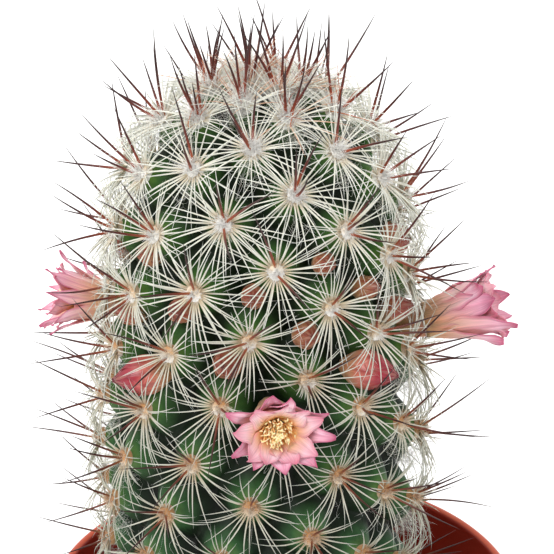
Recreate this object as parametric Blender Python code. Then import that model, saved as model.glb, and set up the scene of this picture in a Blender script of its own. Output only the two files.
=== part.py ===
"""A round, free-flowering pincushion cactus in a 65 mm nursery pot.

The frame is metres with +Z up and the origin at the middle of the pot's flat base. The stem
carries its areoles on one spiral: each areole turns a fixed angle from the one before it and
takes a fixed share of skin, which is smaller at the crown. Everything that grows on the stem
(spines, buds and flowers) is placed from that spiral. An angle of 0 faces -Y, and angles grow
towards +X.
"""
import math
from bisect import bisect_left

import bmesh
import bpy
from mathutils import Matrix, Vector

MM = 0.001
GAP = 0.3 * MM

# Pot: a thin moulded nursery pot with a stepped collar.
POT_RIM_RADIUS = 32.5 * MM
POT_BASE_RADIUS = 23.0 * MM
POT_HEIGHT = 52.0 * MM
POT_WALL = 1.3 * MM
POT_FLOOR = 1.6 * MM
POT_COLLAR_HEIGHT = 9.0 * MM
POT_COLLAR_STEP = 1.2 * MM
DRAIN_HOLES = 6
DRAIN_HOLE_RADIUS = 2.6 * MM
DRAIN_CIRCLE_RADIUS = 14.0 * MM

# Soil: how far its surface lies below the rim, and how deep the stem is planted in it.
SOIL_DROP = 11.0 * MM
PLANTING_DEPTH = 7.0 * MM

# Stem: a domed crown on a barrel. Its radii are taken over the tubercle tips.
PLANT_OFFSET_X = -3.2 * MM
STEM_ABOVE_RIM = 76.2 * MM
SHOULDER_RADIUS = 19.4 * MM
CROWN_HEIGHT = 27.1 * MM
CROWN_ROUNDNESS = 2.4
BARREL_BULGE = 1.9 * MM
BARREL_LENGTH = 50.0 * MM
TUBERCLE_HEIGHT = 4.2 * MM
CELL_WIDTH = 10.1 * MM

# Spiral: the turn from areole to areole, and how the skin that each one holds grows.
DIVERGENCE = math.radians(137.67)
SPIRAL_START = math.radians(-79.1)
FIRST_COUNT = 0.8
CROWN_CELL_SHARE = 0.03
CELL_GROWTH_LENGTH = 15.6 * MM
FOOT_CELL_SHRINK = 0.0044 / MM
FOOT_SHRINK_FROM = 30.0 * MM
ROW_STEP = 8
FIRST_TUBERCLE = 6
FIRST_PAD = 14
NEXT_DOWN = 13
NEXT_SIDE = 5

# Spines.
PAD_RADIUS = 0.95 * MM
PAD_THICKNESS = 0.55 * MM
RADIAL_REACH = 3.9 * MM
RADIAL_LIFT = math.radians(14.0)
CENTRAL_LENGTHS = (12.0 * MM, 10.5 * MM)
CENTRAL_TILTS = (math.radians(34.0), math.radians(-9.0))
CROWN_PAD_RADIUS = 8.6 * MM
CROWN_PAD_THICKNESS = 1.2 * MM
CROWN_SPINE_LENGTH = 10.5 * MM
CROWN_SPINE_ROOT = 0.32
SPINE_CLEARANCE = 0.5 * MM
SHORTEST_SPINE = 0.8 * MM

# Buds: the flowering ring, from the youngest bud to the oldest one.
FIRST_BUD = 27
LAST_BUD = 50
BUD_LENGTHS = (3.8 * MM, 5.4 * MM)
BUD_SLIMNESS = 0.33
BUD_TILT = math.radians(22.0)
BUD_ROOT_HEIGHT = 1.2 * MM
RIPE_BUDS = (48, 50)
RIPE_BUD_LENGTH = 7.2 * MM
RIPE_BUD_SWING = math.radians(26.0)
AXIL_SIDE_SHARE = 0.14

# Flowers: areole above the flower, length, spread across the petal tips and tilts in degrees.
FLOWERS = {
    "front": {"areole": 53, "side": 0.33, "length": 11.5 * MM, "spread": 7.5 * MM,
              "up": 2.0, "turn": 6.0, "flare": 68.0},
    "left": {"areole": 47, "side": 0.14, "length": 12.3 * MM, "spread": 5.4 * MM,
             "up": 9.0, "turn": 6.0, "flare": 38.0},
    "right": {"areole": 51, "side": 0.14, "length": 17.2 * MM, "spread": 5.4 * MM,
              "up": 16.0, "turn": -4.0, "flare": 24.0},
}
FLOWER_ROOT_RADIUS = 1.3 * MM
THROAT_RADIUS = 2.9 * MM
TUBE_WAIST_RADIUS = 2.32 * MM
TUBE_WALL = 0.5 * MM
TUBE_SHARE = 0.58
PETALS = 9
PETAL_THICKNESS = 0.5 * MM
STAMENS = 8
STAMEN_LENGTH = 2.4 * MM
PISTIL_RADIUS = 0.45 * MM

POT_SIDES = 40
SOCKET_SIDES = 40
BUD_SIDES = 8
TUBE_SIDES = 12
FOOT_SIDES = 16
CROWN_SIDES = 12

SOIL_TOP = POT_HEIGHT - SOIL_DROP
STEM_FOOT = SOIL_TOP - PLANTING_DEPTH
CROWN_TOP = POT_HEIGHT + STEM_ABOVE_RIM
UP = Vector((0.0, 0.0, 1.0))


def clear_scene():
    """Remove every object and start from an empty scene."""
    for item in list(bpy.data.objects):
        bpy.data.objects.remove(item, do_unlink=True)


def make_material(name, colour, roughness):
    """Return a plain finish for one kind of piece."""
    material = bpy.data.materials.new(name)
    material.use_nodes = True
    shader = material.node_tree.nodes["Principled BSDF"]
    shader.inputs["Base Color"].default_value = (*colour, 1.0)
    shader.inputs["Roughness"].default_value = roughness
    shader.inputs["Metallic"].default_value = 0.0
    material.diffuse_color = (*colour, 1.0)
    return material


def add_object(name, bm, material, placement=None, smooth=40.0):
    """Turn a finished bmesh into one named, placed and shaded object."""
    bmesh.ops.recalc_face_normals(bm, faces=bm.faces[:])
    mesh = bpy.data.meshes.new(name)
    bm.to_mesh(mesh)
    bm.free()
    mesh.shade_smooth()
    mesh.set_sharp_from_angle(angle=math.radians(smooth))
    mesh.materials.append(material)
    item = bpy.data.objects.new(name, mesh)
    bpy.context.scene.collection.objects.link(item)
    if placement is not None:
        item.matrix_world = placement
    return item


def turned(outline, sides):
    """Return a closed bmesh turned about Z from an outline of (radius, height) points."""
    bm = bmesh.new()
    points = [bm.verts.new((radius, 0.0, height)) for radius, height in outline]
    edges = [bm.edges.new(pair) for pair in zip(points, points[1:])]
    bmesh.ops.spin(
        bm, geom=points + edges, cent=(0.0, 0.0, 0.0), axis=(0.0, 0.0, 1.0),
        angle=2.0 * math.pi, steps=sides, use_merge=False)
    bmesh.ops.remove_doubles(bm, verts=bm.verts[:], dist=1e-6)
    return bm


def stem_outline():
    """Sample the stem from crown to foot as rows of arc length, radius, height, count and psi.

    The count is how many areoles the skin above that level holds. Psi is the level on an
    equal-angle map of the stem, where the spiral's spacing is the same in both directions.
    """
    samples = 400
    points = []
    for step in range(samples + 1):
        angle = 0.5 * math.pi * step / samples
        radius = SHOULDER_RADIUS * math.sin(angle) ** (2.0 / CROWN_ROUNDNESS)
        height = CROWN_TOP - CROWN_HEIGHT + CROWN_HEIGHT * math.cos(angle) ** (2.0 / CROWN_ROUNDNESS)
        points.append((radius, height))
    flank = CROWN_TOP - CROWN_HEIGHT - STEM_FOOT
    for step in range(1, samples + 1):
        drop = flank * step / samples
        share = drop / BARREL_LENGTH
        radius = SHOULDER_RADIUS + 4.0 * BARREL_BULGE * share * (1.0 - share)
        points.append((radius, CROWN_TOP - CROWN_HEIGHT - drop))
    rows = [(0.0, 0.0, CROWN_TOP, 0.0, 0.0)]
    for (radius_a, height_a), (radius_b, height_b) in zip(points, points[1:]):
        arc, _, _, count, psi = rows[-1]
        stride = math.hypot(radius_b - radius_a, height_b - height_a)
        radius = 0.5 * (radius_a + radius_b)
        arc += stride
        count += 2.0 * math.pi * radius * stride / cell_area(arc - 0.5 * stride)
        psi += stride / radius
        rows.append((arc, radius_b, height_b, count, psi))
    return rows


def cell_area(arc):
    """Return the skin that one areole holds at this distance from the crown."""
    young = (1.0 - CROWN_CELL_SHARE) * math.exp(-arc / CELL_GROWTH_LENGTH)
    old = FOOT_CELL_SHRINK * max(arc - FOOT_SHRINK_FROM, 0.0)
    return CELL_WIDTH ** 2 * (1.0 - young) * (1.0 - old)


class Stem:
    """The stem's shape, and the places on it."""

    def __init__(self):
        self.rows = stem_outline()
        self.counts = [row[3] for row in self.rows]
        self.axis = Vector((PLANT_OFFSET_X, 0.0, 0.0))
        self.tip_count = self.last_areole()

    def at_count(self, count):
        """Return arc, radius, height, psi and the downhill slope where this count is reached."""
        index = min(max(bisect_left(self.counts, count), 1), len(self.rows) - 1)
        above = self.rows[index - 1]
        below = self.rows[index]
        share = (count - above[3]) / (below[3] - above[3])
        arc, radius, height, _, psi = (a + share * (b - a) for a, b in zip(above, below))
        slope = Vector((below[1] - above[1], below[2] - above[2])).normalized()
        return arc, radius, height, psi, slope

    def last_areole(self):
        """Return the number of the lowest areole that stands clear of the soil."""
        number = 0
        while self.at_count(number + 1 + FIRST_COUNT)[2] > SOIL_TOP + TUBERCLE_HEIGHT:
            number += 1
        return number

    def angle(self, number):
        """Return the turn of an areole round the stem."""
        return SPIRAL_START + DIVERGENCE * number

    def place(self, number):
        """Return an areole's position and its outward, uphill and sideways directions."""
        _, radius, height, _, slope = self.at_count(number + FIRST_COUNT)
        angle = self.angle(number)
        radial = Vector((math.sin(angle), -math.cos(angle), 0.0))
        side = Vector((math.cos(angle), math.sin(angle), 0.0))
        outward = radial * -slope.y + UP * slope.x
        uphill = radial * -slope.x - UP * slope.y
        return self.axis + radial * radius + UP * height, outward, uphill, side

    def tubercle(self, number):
        """Return the height of an areole's tubercle, which follows its share of skin."""
        arc = self.at_count(number + FIRST_COUNT)[0]
        return TUBERCLE_HEIGHT * math.sqrt(cell_area(arc)) / CELL_WIDTH

    def axil(self, number, side_share):
        """Return the point between three tubercles below an areole, and its directions."""
        down_share = 0.5 * (1.0 - side_share)
        corners = [self.place(number), self.place(number + NEXT_DOWN), self.place(number + NEXT_SIDE)]
        shares = (down_share, down_share, side_share)
        point = sum((corner[0] * share for corner, share in zip(corners, shares)), Vector())
        radial = Vector((point.x - self.axis.x, point.y, 0.0)).normalized()
        slope = self.at_count(number + FIRST_COUNT + 0.5 * NEXT_DOWN)[4]
        outward = radial * -slope.y + UP * slope.x
        depth = BUD_ROOT_HEIGHT - 0.8 * self.tubercle(number)
        return point + outward * depth, radial


class Blossom:
    """A bud or a flower: where it roots, where it points and the room it fills."""

    def __init__(self, root, direction, length, root_radius, end_radius, bulge):
        self.root = root
        self.direction = direction
        self.length = length
        self.root_radius = root_radius
        self.end_radius = end_radius
        self.bulge = bulge

    def placement(self):
        """Return the matrix that stands a Z-up shape on the axil."""
        turn = UP.rotation_difference(self.direction).to_matrix().to_4x4()
        return Matrix.Translation(self.root) @ turn

    def blocks(self, point):
        """Return whether a spine point comes too close."""
        along = (point - self.root).dot(self.direction)
        if along < -SPINE_CLEARANCE or along > self.length + SPINE_CLEARANCE:
            return False
        share = min(max(along / self.length, 0.0), 1.0)
        radius = self.root_radius + (self.end_radius - self.root_radius) * share ** self.bulge
        across = (point - self.root - self.direction * along).length
        return across < radius + SPINE_CLEARANCE


def axil_blossom(stem, number, side, length, up, turn, radii, bulge):
    """Return the blossom that grows from the axil below an areole."""
    root, radial = stem.axil(number, side)
    swung = Matrix.Rotation(turn, 3, "Z") @ radial
    direction = (swung * math.cos(up) + UP * math.sin(up)).normalized()
    return Blossom(root, direction, length, radii[0], radii[1], bulge)


def plan_flowers(stem):
    """Return the place of each open flower by its name."""
    plan = {}
    for name, flower in FLOWERS.items():
        plan[name] = axil_blossom(
            stem, flower["areole"], flower["side"], flower["length"],
            math.radians(flower["up"]), math.radians(flower["turn"]),
            (THROAT_RADIUS, flower["spread"] + SPINE_CLEARANCE), 1.3)
    return plan


def plan_buds(stem):
    """Return the buds of the flowering ring, youngest first."""
    taken = {flower["areole"] for flower in FLOWERS.values()}
    buds = []
    for number in range(FIRST_BUD, LAST_BUD + 1):
        if number in taken:
            continue
        age = (number - FIRST_BUD) / (LAST_BUD - FIRST_BUD)
        length = BUD_LENGTHS[0] + (BUD_LENGTHS[1] - BUD_LENGTHS[0]) * age
        tilt = BUD_TILT
        swing = 0.0
        if number in RIPE_BUDS:
            length = RIPE_BUD_LENGTH
            tilt = 0.0
            swing = math.copysign(RIPE_BUD_SWING, stem.axil(number, AXIL_SIDE_SHARE)[1].x)
        radius = BUD_SLIMNESS * length
        buds.append(axil_blossom(
            stem, number, AXIL_SIDE_SHARE, length, tilt, swing, (radius, radius), 1.0))
    return buds


def pot_wall_radius(height):
    """Return the inner radius of the pot's tapered body at a height above its base."""
    share = height / POT_HEIGHT
    outer = POT_BASE_RADIUS + (POT_RIM_RADIUS - POT_COLLAR_STEP - POT_BASE_RADIUS) * share
    return outer - POT_WALL


def free_length(origin, direction, wanted, blossoms):
    """Return how far a spine can grow before it meets a blossom, the soil or the pot."""
    steps = 40
    for step in range(1, steps + 1):
        reach = wanted * step / steps
        point = origin + direction * reach
        in_soil = point.z < SOIL_TOP + SPINE_CLEARANCE
        low = point.z < POT_HEIGHT + SPINE_CLEARANCE
        in_wall = low and math.hypot(point.x, point.y) > pot_wall_radius(point.z) - SPINE_CLEARANCE
        if in_soil or in_wall or any(blossom.blocks(point) for blossom in blossoms):
            return wanted * (step - 1) / steps
    return wanted


def build_pot(material):
    """Build the tapered pot with its stepped collar, and drill the drainage holes."""
    step_height = POT_HEIGHT - POT_COLLAR_HEIGHT
    body_radius = pot_wall_radius(step_height) + POT_WALL
    collar_base = body_radius + POT_COLLAR_STEP
    outline = [
        (0.0, 0.0),
        (POT_BASE_RADIUS - POT_WALL, 0.0),
        (POT_BASE_RADIUS, POT_WALL),
        (body_radius, step_height - POT_COLLAR_STEP),
        (collar_base, step_height),
        (POT_RIM_RADIUS, POT_HEIGHT - 0.5 * POT_WALL),
        (POT_RIM_RADIUS - 0.25 * POT_WALL, POT_HEIGHT),
        (POT_RIM_RADIUS - POT_WALL, POT_HEIGHT),
        (collar_base - POT_WALL, step_height + POT_WALL),
        (pot_wall_radius(step_height), step_height - POT_COLLAR_STEP),
        (pot_wall_radius(POT_FLOOR), POT_FLOOR),
        (0.0, POT_FLOOR),
    ]
    pot = add_object("pot", turned(outline, POT_SIDES), material)
    cutter_bm = bmesh.new()
    for index in range(DRAIN_HOLES):
        turn = 2.0 * math.pi * index / DRAIN_HOLES
        centre = Vector((math.cos(turn), math.sin(turn), 0.0)) * DRAIN_CIRCLE_RADIUS
        bmesh.ops.create_cone(
            cutter_bm, cap_ends=True, segments=12, radius1=DRAIN_HOLE_RADIUS,
            radius2=DRAIN_HOLE_RADIUS, depth=4.0 * POT_FLOOR, matrix=Matrix.Translation(centre))
    cutter = add_object("drain_cutter", cutter_bm, material)
    cutter.hide_render = True
    cutter.display_type = "WIRE"
    holes = pot.modifiers.new("drain_holes", "BOOLEAN")
    holes.operation = "DIFFERENCE"
    holes.solver = "EXACT"
    holes.object = cutter
    return pot


def build_soil(stem, material):
    """Build the soil: it fills the pot's body and keeps a socket for the planted stem."""
    surface = stem.at_count(stem.tip_count + FIRST_COUNT)[1]
    foot_radius = max(row[1] for row in stem.rows if row[2] <= SOIL_TOP + GAP)
    socket = max(surface, foot_radius) + GAP
    floor = POT_FLOOR + GAP
    top_outer = pot_wall_radius(SOIL_TOP) - GAP
    rings = [
        (0.0, socket, STEM_FOOT - GAP),
        (0.0, socket, SOIL_TOP - 0.6 * MM),
        (0.35, socket, SOIL_TOP),
        (0.8, socket, SOIL_TOP + 0.2 * MM),
        (1.0, socket, SOIL_TOP - 0.8 * MM),
    ]
    bm = bmesh.new()
    loops = []
    for share, radius, height in rings:
        centre = stem.axis * (1.0 - share)
        loops.append(ring(bm, centre, radius + (top_outer - radius) * share, height))
    loops.append(ring(bm, Vector(), pot_wall_radius(floor) - GAP, floor))
    for upper, lower in zip(loops, loops[1:]):
        join_rings(bm, upper, lower)
    bm.faces.new(loops[0])
    bm.faces.new(loops[-1])
    return add_object("potting_soil", bm, material)


def ring(bm, centre, radius, height):
    """Add a level ring of vertices."""
    turns = (2.0 * math.pi * index / SOCKET_SIDES for index in range(SOCKET_SIDES))
    return [
        bm.verts.new((centre.x + radius * math.cos(turn), centre.y + radius * math.sin(turn), height))
        for turn in turns]


def join_rings(bm, first, second):
    """Close the band between two rings of the same number of vertices."""
    count = len(first)
    for index in range(count):
        following = (index + 1) % count
        bm.faces.new((first[index], first[following], second[following], second[index]))


def lattice_triangles(levels):
    """Join neighbouring places on the stem into triangles.

    Each place is an (angle, psi) pair. The stem is mapped onto a ball with all angles kept,
    where the convex hull joins each place to its natural neighbours.
    """
    middle = 0.5 * (levels[0][1] + levels[-1][1])
    bm = bmesh.new()
    for angle, psi in levels:
        share = math.cosh(psi - middle)
        bm.verts.new((math.cos(angle) / share, math.sin(angle) / share, -math.tanh(psi - middle)))
    bm.verts.index_update()
    bmesh.ops.convex_hull(bm, input=bm.verts[:])
    triangles = [tuple(vert.index for vert in face.verts) for face in bm.faces]
    bm.free()
    return triangles


def build_stem(stem, material):
    """Build the tubercled stem: a point for each areole, with grooves between neighbours."""
    numbers = list(range(FIRST_TUBERCLE, stem.tip_count + 1))
    levels = []
    points = []
    heights = []
    inward = []
    for number in numbers:
        point, outward, _, _ = stem.place(number)
        levels.append((stem.angle(number), stem.at_count(number + FIRST_COUNT)[3]))
        points.append(point - outward * GAP)
        heights.append(stem.tubercle(number))
        inward.append(-outward)
    foot = stem.rows[-1]
    for index in range(FOOT_SIDES):
        turn = 2.0 * math.pi * index / FOOT_SIDES
        radial = Vector((math.sin(turn), -math.cos(turn), 0.0))
        levels.append((turn, foot[4]))
        points.append(stem.axis + radial * (foot[1] - TUBERCLE_HEIGHT) + UP * foot[2])
        heights.append(0.0)
        inward.append(-radial)
    bm = bmesh.new()
    tips = [bm.verts.new(point) for point in points]
    middles = {}
    for triangle in lattice_triangles(levels):
        corners = []
        for first, second in zip(triangle, triangle[1:] + triangle[:1]):
            key = (min(first, second), max(first, second))
            if key not in middles:
                middles[key] = groove(bm, points, heights, inward, key, 0.8)
            corners.append(middles[key])
        centre = groove(bm, points, heights, inward, triangle, 1.0)
        for step, index in enumerate(triangle):
            bm.faces.new((tips[index], corners[step], centre, corners[step - 1]))
    return add_object("stem", bm, material, smooth=70.0)


def groove(bm, points, heights, inward, corners, share):
    """Add the groove vertex in the middle of two or three neighbouring places."""
    middle = sum((points[index] for index in corners), Vector()) / len(corners)
    depth = min(heights[index] for index in corners) * share
    direction = sum((inward[index] for index in corners), Vector()).normalized()
    return bm.verts.new(middle + direction * depth)


def build_crown(stem, material):
    """Build the woolly crown pad with the upright spines of the youngest areoles."""
    levels = [row for row in stem.rows if row[1] <= CROWN_PAD_RADIUS]
    rings = 3
    outline = [(0.0, CROWN_TOP + GAP)]
    for step in range(1, rings + 1):
        row = levels[(len(levels) - 1) * step // rings]
        outline.append((row[1], row[2] + GAP))
    rim = outline[-1]
    top = [(radius, height + CROWN_PAD_THICKNESS) for radius, height in reversed(outline)]
    top[0] = (rim[0] - 0.5 * CROWN_PAD_THICKNESS, top[0][1])
    bm = turned(outline + top, CROWN_SIDES)
    bmesh.ops.recalc_face_normals(bm, faces=bm.faces[:])
    upper = [face for face in bm.faces if face.normal.z > 0.3]
    for face in upper:
        middle = face.calc_center_median()
        flare = Vector((middle.x, middle.y, 0.0)) / CROWN_PAD_RADIUS
        direction = (UP + flare * 0.75).normalized()
        grow_spine(bm, face, direction, CROWN_SPINE_LENGTH, CROWN_SPINE_ROOT)
    return add_object("crown_spines", bm, material, Matrix.Translation(stem.axis))


def grow_spine(bm, face, direction, length, root_share):
    """Draw a tapering spine out of one face of a pad."""
    if root_share < 1.0:
        bmesh.ops.inset_region(bm, faces=[face], thickness=0.0, depth=0.0)
        scale_face(face, root_share)
    middle = bmesh.ops.extrude_discrete_faces(bm, faces=[face])["faces"][0]
    bmesh.ops.translate(bm, verts=middle.verts[:], vec=direction * length * 0.5)
    scale_face(middle, 0.6)
    tip = bmesh.ops.extrude_discrete_faces(bm, faces=[middle])["faces"][0]
    bmesh.ops.translate(bm, verts=tip.verts[:], vec=direction * length * 0.5)
    bmesh.ops.pointmerge(bm, verts=tip.verts[:], merge_co=tip.calc_center_median())


def scale_face(face, factor):
    """Draw a face's corners towards its middle."""
    middle = face.calc_center_median()
    for vert in face.verts:
        vert.co = middle + (vert.co - middle) * factor


def build_row(stem, name, numbers, blossoms, material):
    """Build one spiral row: woolly pads, joined by the spines that reach the next areole."""
    bm = bmesh.new()
    sides_below = None
    for position, number in enumerate(numbers):
        point, outward, uphill, side = stem.place(number)
        ahead = numbers[position + 1] if position + 1 < len(numbers) else number + ROW_STEP
        heading = stem.place(ahead)[0] - point
        turn = math.atan2(heading.dot(uphill), heading.dot(side))
        top, walls = add_pad(bm, point, outward, uphill, side, turn)
        if sides_below is not None:
            link_walls(bm, sides_below, walls[3])
        last = position + 1 == len(numbers)
        sides_below = walls[0]
        for index in (1, 2, 4, 5) + ((0,) if last else ()):
            grow_radial(bm, walls[index], point, outward, blossoms)
        for face, tilt, wanted in zip(top, CENTRAL_TILTS, CENTRAL_LENGTHS):
            direction = outward * math.cos(tilt) + uphill * math.sin(tilt)
            start = face.calc_center_median()
            length = free_length(start, direction, wanted, blossoms)
            if length > SHORTEST_SPINE:
                grow_spine(bm, face, direction, length, 1.0)
    return add_object(name, bm, material)


def add_pad(bm, point, outward, uphill, side, turn):
    """Add a six-sided areole pad, and return its two spine faces and its six walls.

    Wall 0 faces along the turn, and the others follow round the pad.
    """
    base = point + outward * GAP
    lower = []
    upper = []
    for index in range(6):
        angle = turn + (index - 0.5) * math.pi / 3.0
        arm = (side * math.cos(angle) + uphill * math.sin(angle)) * PAD_RADIUS
        lower.append(bm.verts.new(base + arm))
        upper.append(bm.verts.new(base + arm + outward * PAD_THICKNESS))
    bm.faces.new(lower)
    centre = bm.verts.new(base + outward * PAD_THICKNESS * 1.4)
    walls = []
    fan = []
    for index in range(6):
        following = (index + 1) % 6
        walls.append(bm.faces.new((lower[index], lower[following], upper[following], upper[index])))
        fan.append(bm.faces.new((upper[index], upper[following], centre)))
    rise = [(face.calc_center_median() - base).dot(uphill) for face in fan]
    return (fan[rise.index(max(rise))], fan[rise.index(min(rise))]), walls


def link_walls(bm, first, second):
    """Join the facing walls of two pads with one flat spine."""
    edges = first.edges[:] + second.edges[:]
    bmesh.ops.delete(bm, geom=[first, second], context="FACES_ONLY")
    bmesh.ops.bridge_loops(bm, edges=edges)


def grow_radial(bm, wall, point, outward, blossoms):
    """Draw a short spreading spine out of one wall of a pad."""
    start = wall.calc_center_median()
    away = start - point
    flat = (away - outward * away.dot(outward)).normalized()
    direction = flat * math.cos(RADIAL_LIFT) + outward * math.sin(RADIAL_LIFT)
    length = free_length(start, direction, RADIAL_REACH - PAD_RADIUS, blossoms)
    if length < SHORTEST_SPINE:
        return
    tip = bmesh.ops.extrude_discrete_faces(bm, faces=[wall])["faces"][0]
    bmesh.ops.translate(bm, verts=tip.verts[:], vec=direction * length)
    bmesh.ops.pointmerge(bm, verts=tip.verts[:], merge_co=tip.calc_center_median())


def build_bud(name, bud, material):
    """Build one closed bud, widest past its middle and pointed at its tip."""
    widest = bud.root_radius
    outline = [
        (0.0, 0.0),
        (0.35 * widest, 0.0),
        (0.85 * widest, 0.35 * bud.length),
        (widest, 0.55 * bud.length),
        (0.7 * widest, 0.8 * bud.length),
        (0.0, bud.length),
    ]
    return add_object(name, turned(outline, BUD_SIDES), material, bud.placement())


def build_flower(name, place, flower, materials):
    """Build one open flower: tube, two rings of petals, stamens and pistil."""
    tube_top = TUBE_SHARE * flower["length"]
    cup_floor = tube_top - STAMEN_LENGTH
    placement = place.placement()
    outline = [
        (0.0, 0.0),
        (FLOWER_ROOT_RADIUS, 0.0),
        (TUBE_WAIST_RADIUS, 0.5 * tube_top),
        (THROAT_RADIUS, tube_top),
        (THROAT_RADIUS - TUBE_WALL, tube_top),
        (TUBE_WAIST_RADIUS - TUBE_WALL, cup_floor),
        (0.0, cup_floor),
    ]
    prefix = "flower_" + name
    add_object(prefix + "_tube", turned(outline, TUBE_SIDES), materials["tube"], placement)
    flare = math.radians(flower["flare"])
    run = (flower["spread"] - THROAT_RADIUS) / math.sin(flare)
    base = tube_top + GAP
    outer = petal_ring(THROAT_RADIUS - TUBE_WALL, THROAT_RADIUS, base, run, flare, 0.0)
    add_object(prefix + "_outer_petals", outer, materials["petal"], placement)
    inner_base = base + PETAL_THICKNESS + GAP
    inner = petal_ring(
        THROAT_RADIUS - 1.4 * TUBE_WALL, THROAT_RADIUS - 0.1 * TUBE_WALL, inner_base,
        0.82 * run, 0.72 * flare, math.pi / PETALS)
    add_object(prefix + "_inner_petals", inner, materials["petal"], placement)
    stamens = stamen_ring(cup_floor + GAP)
    add_object(prefix + "_stamens", stamens, materials["stamen"], placement)
    top = inner_base + 0.6 * STAMEN_LENGTH
    pistil = [
        (0.0, cup_floor + GAP),
        (PISTIL_RADIUS, cup_floor + GAP),
        (PISTIL_RADIUS, top),
        (1.6 * PISTIL_RADIUS, top + PISTIL_RADIUS),
        (0.0, top + 2.0 * PISTIL_RADIUS),
    ]
    add_object(prefix + "_pistil", turned(pistil, 6), materials["pistil"], placement)


def petal_ring(inner_radius, outer_radius, height, run, flare, start):
    """Return a ring whose outer walls are drawn out into pointed petals."""
    bm = bmesh.new()
    count = 2 * PETALS
    corners = []
    for index in range(count):
        turn = start + 2.0 * math.pi * index / count
        spoke = Vector((math.cos(turn), math.sin(turn), 0.0))
        corners.append([
            bm.verts.new(spoke * inner_radius + UP * height),
            bm.verts.new(spoke * outer_radius + UP * height),
            bm.verts.new(spoke * outer_radius + UP * (height + PETAL_THICKNESS)),
            bm.verts.new(spoke * inner_radius + UP * (height + PETAL_THICKNESS)),
        ])
    roots = []
    for index in range(count):
        here = corners[index]
        there = corners[(index + 1) % count]
        for side in range(4):
            after = (side + 1) % 4
            face = bm.faces.new((here[side], here[after], there[after], there[side]))
            if side == 1 and index % 2 == 0:
                roots.append(face)
    for root in roots:
        middle = root.calc_center_median()
        spoke = Vector((middle.x, middle.y, 0.0)).normalized()
        direction = spoke * math.sin(flare) + UP * math.cos(flare)
        blade = bmesh.ops.extrude_discrete_faces(bm, faces=[root])["faces"][0]
        bmesh.ops.translate(bm, verts=blade.verts[:], vec=direction * run * 0.55)
        tip = bmesh.ops.extrude_discrete_faces(bm, faces=[blade])["faces"][0]
        bmesh.ops.translate(bm, verts=tip.verts[:], vec=direction * run * 0.45)
        bmesh.ops.pointmerge(bm, verts=tip.verts[:], merge_co=tip.calc_center_median())
    return bm


def stamen_ring(height):
    """Return the ring of stamens that rises from the floor of the tube."""
    inner = PISTIL_RADIUS * 1.8 + GAP
    outer = inner + 0.5 * MM
    foot = 0.4 * MM
    bm = bmesh.new()
    corners = []
    for index in range(STAMENS):
        turn = 2.0 * math.pi * index / STAMENS
        spoke = Vector((math.cos(turn), math.sin(turn), 0.0))
        corners.append([
            bm.verts.new(spoke * inner + UP * height),
            bm.verts.new(spoke * outer + UP * height),
            bm.verts.new(spoke * outer + UP * (height + foot)),
            bm.verts.new(spoke * inner + UP * (height + foot)),
        ])
    tops = []
    for index in range(STAMENS):
        here = corners[index]
        there = corners[(index + 1) % STAMENS]
        for side in range(4):
            after = (side + 1) % 4
            face = bm.faces.new((here[side], here[after], there[after], there[side]))
            if side == 2:
                tops.append(face)
    for face in tops:
        grow_spine(bm, face, UP, STAMEN_LENGTH, 1.0)
    return bm


def main():
    """Build every piece of the potted plant."""
    clear_scene()
    pot_finish = make_material("terracotta_plastic", (0.45, 0.085, 0.035), 0.35)
    soil_finish = make_material("potting_soil", (0.05, 0.032, 0.02), 0.95)
    stem_finish = make_material("cactus_skin", (0.06, 0.16, 0.055), 0.55)
    spine_finish = make_material("spines", (0.72, 0.62, 0.5), 0.5)
    crown_finish = make_material("crown_spines", (0.32, 0.1, 0.06), 0.5)
    bud_finish = make_material("bud_skin", (0.6, 0.2, 0.15), 0.45)
    flower_finishes = {
        "tube": make_material("flower_tube", (0.8, 0.42, 0.3), 0.5),
        "petal": make_material("petal", (0.8, 0.3, 0.42), 0.5),
        "stamen": make_material("stamen", (0.85, 0.6, 0.2), 0.6),
        "pistil": make_material("pistil", (0.85, 0.8, 0.45), 0.6),
    }
    stem = Stem()
    flowers = plan_flowers(stem)
    buds = plan_buds(stem)
    blossoms = list(flowers.values()) + buds
    build_pot(pot_finish)
    build_soil(stem, soil_finish)
    build_stem(stem, stem_finish)
    build_crown(stem, crown_finish)
    for row in range(ROW_STEP):
        numbers = list(range(FIRST_PAD + row, stem.tip_count + 1, ROW_STEP))
        build_row(stem, f"spine_row_{row + 1}", numbers, blossoms, spine_finish)
    for index, bud in enumerate(buds):
        build_bud(f"bud_{index + 1:02d}", bud, bud_finish)
    for name, place in flowers.items():
        build_flower(name, place, FLOWERS[name], flower_finishes)


main()
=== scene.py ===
"""The looks of a flowering pincushion cactus in its nursery pot.

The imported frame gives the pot, the soil and the room of everything that grows. The stem's
areoles lie on one spiral, the one that the frame was built on, and every spine, tuft of wool,
bud and flower here grows from that spiral. Lengths are metres, +Z is up, -Y is the front, and
a turn of 0 faces the front and grows towards +X.
"""
from __future__ import annotations

import logging
import math
import sys
from dataclasses import dataclass, field
from enum import Enum
from typing import Iterable, Sequence

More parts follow.
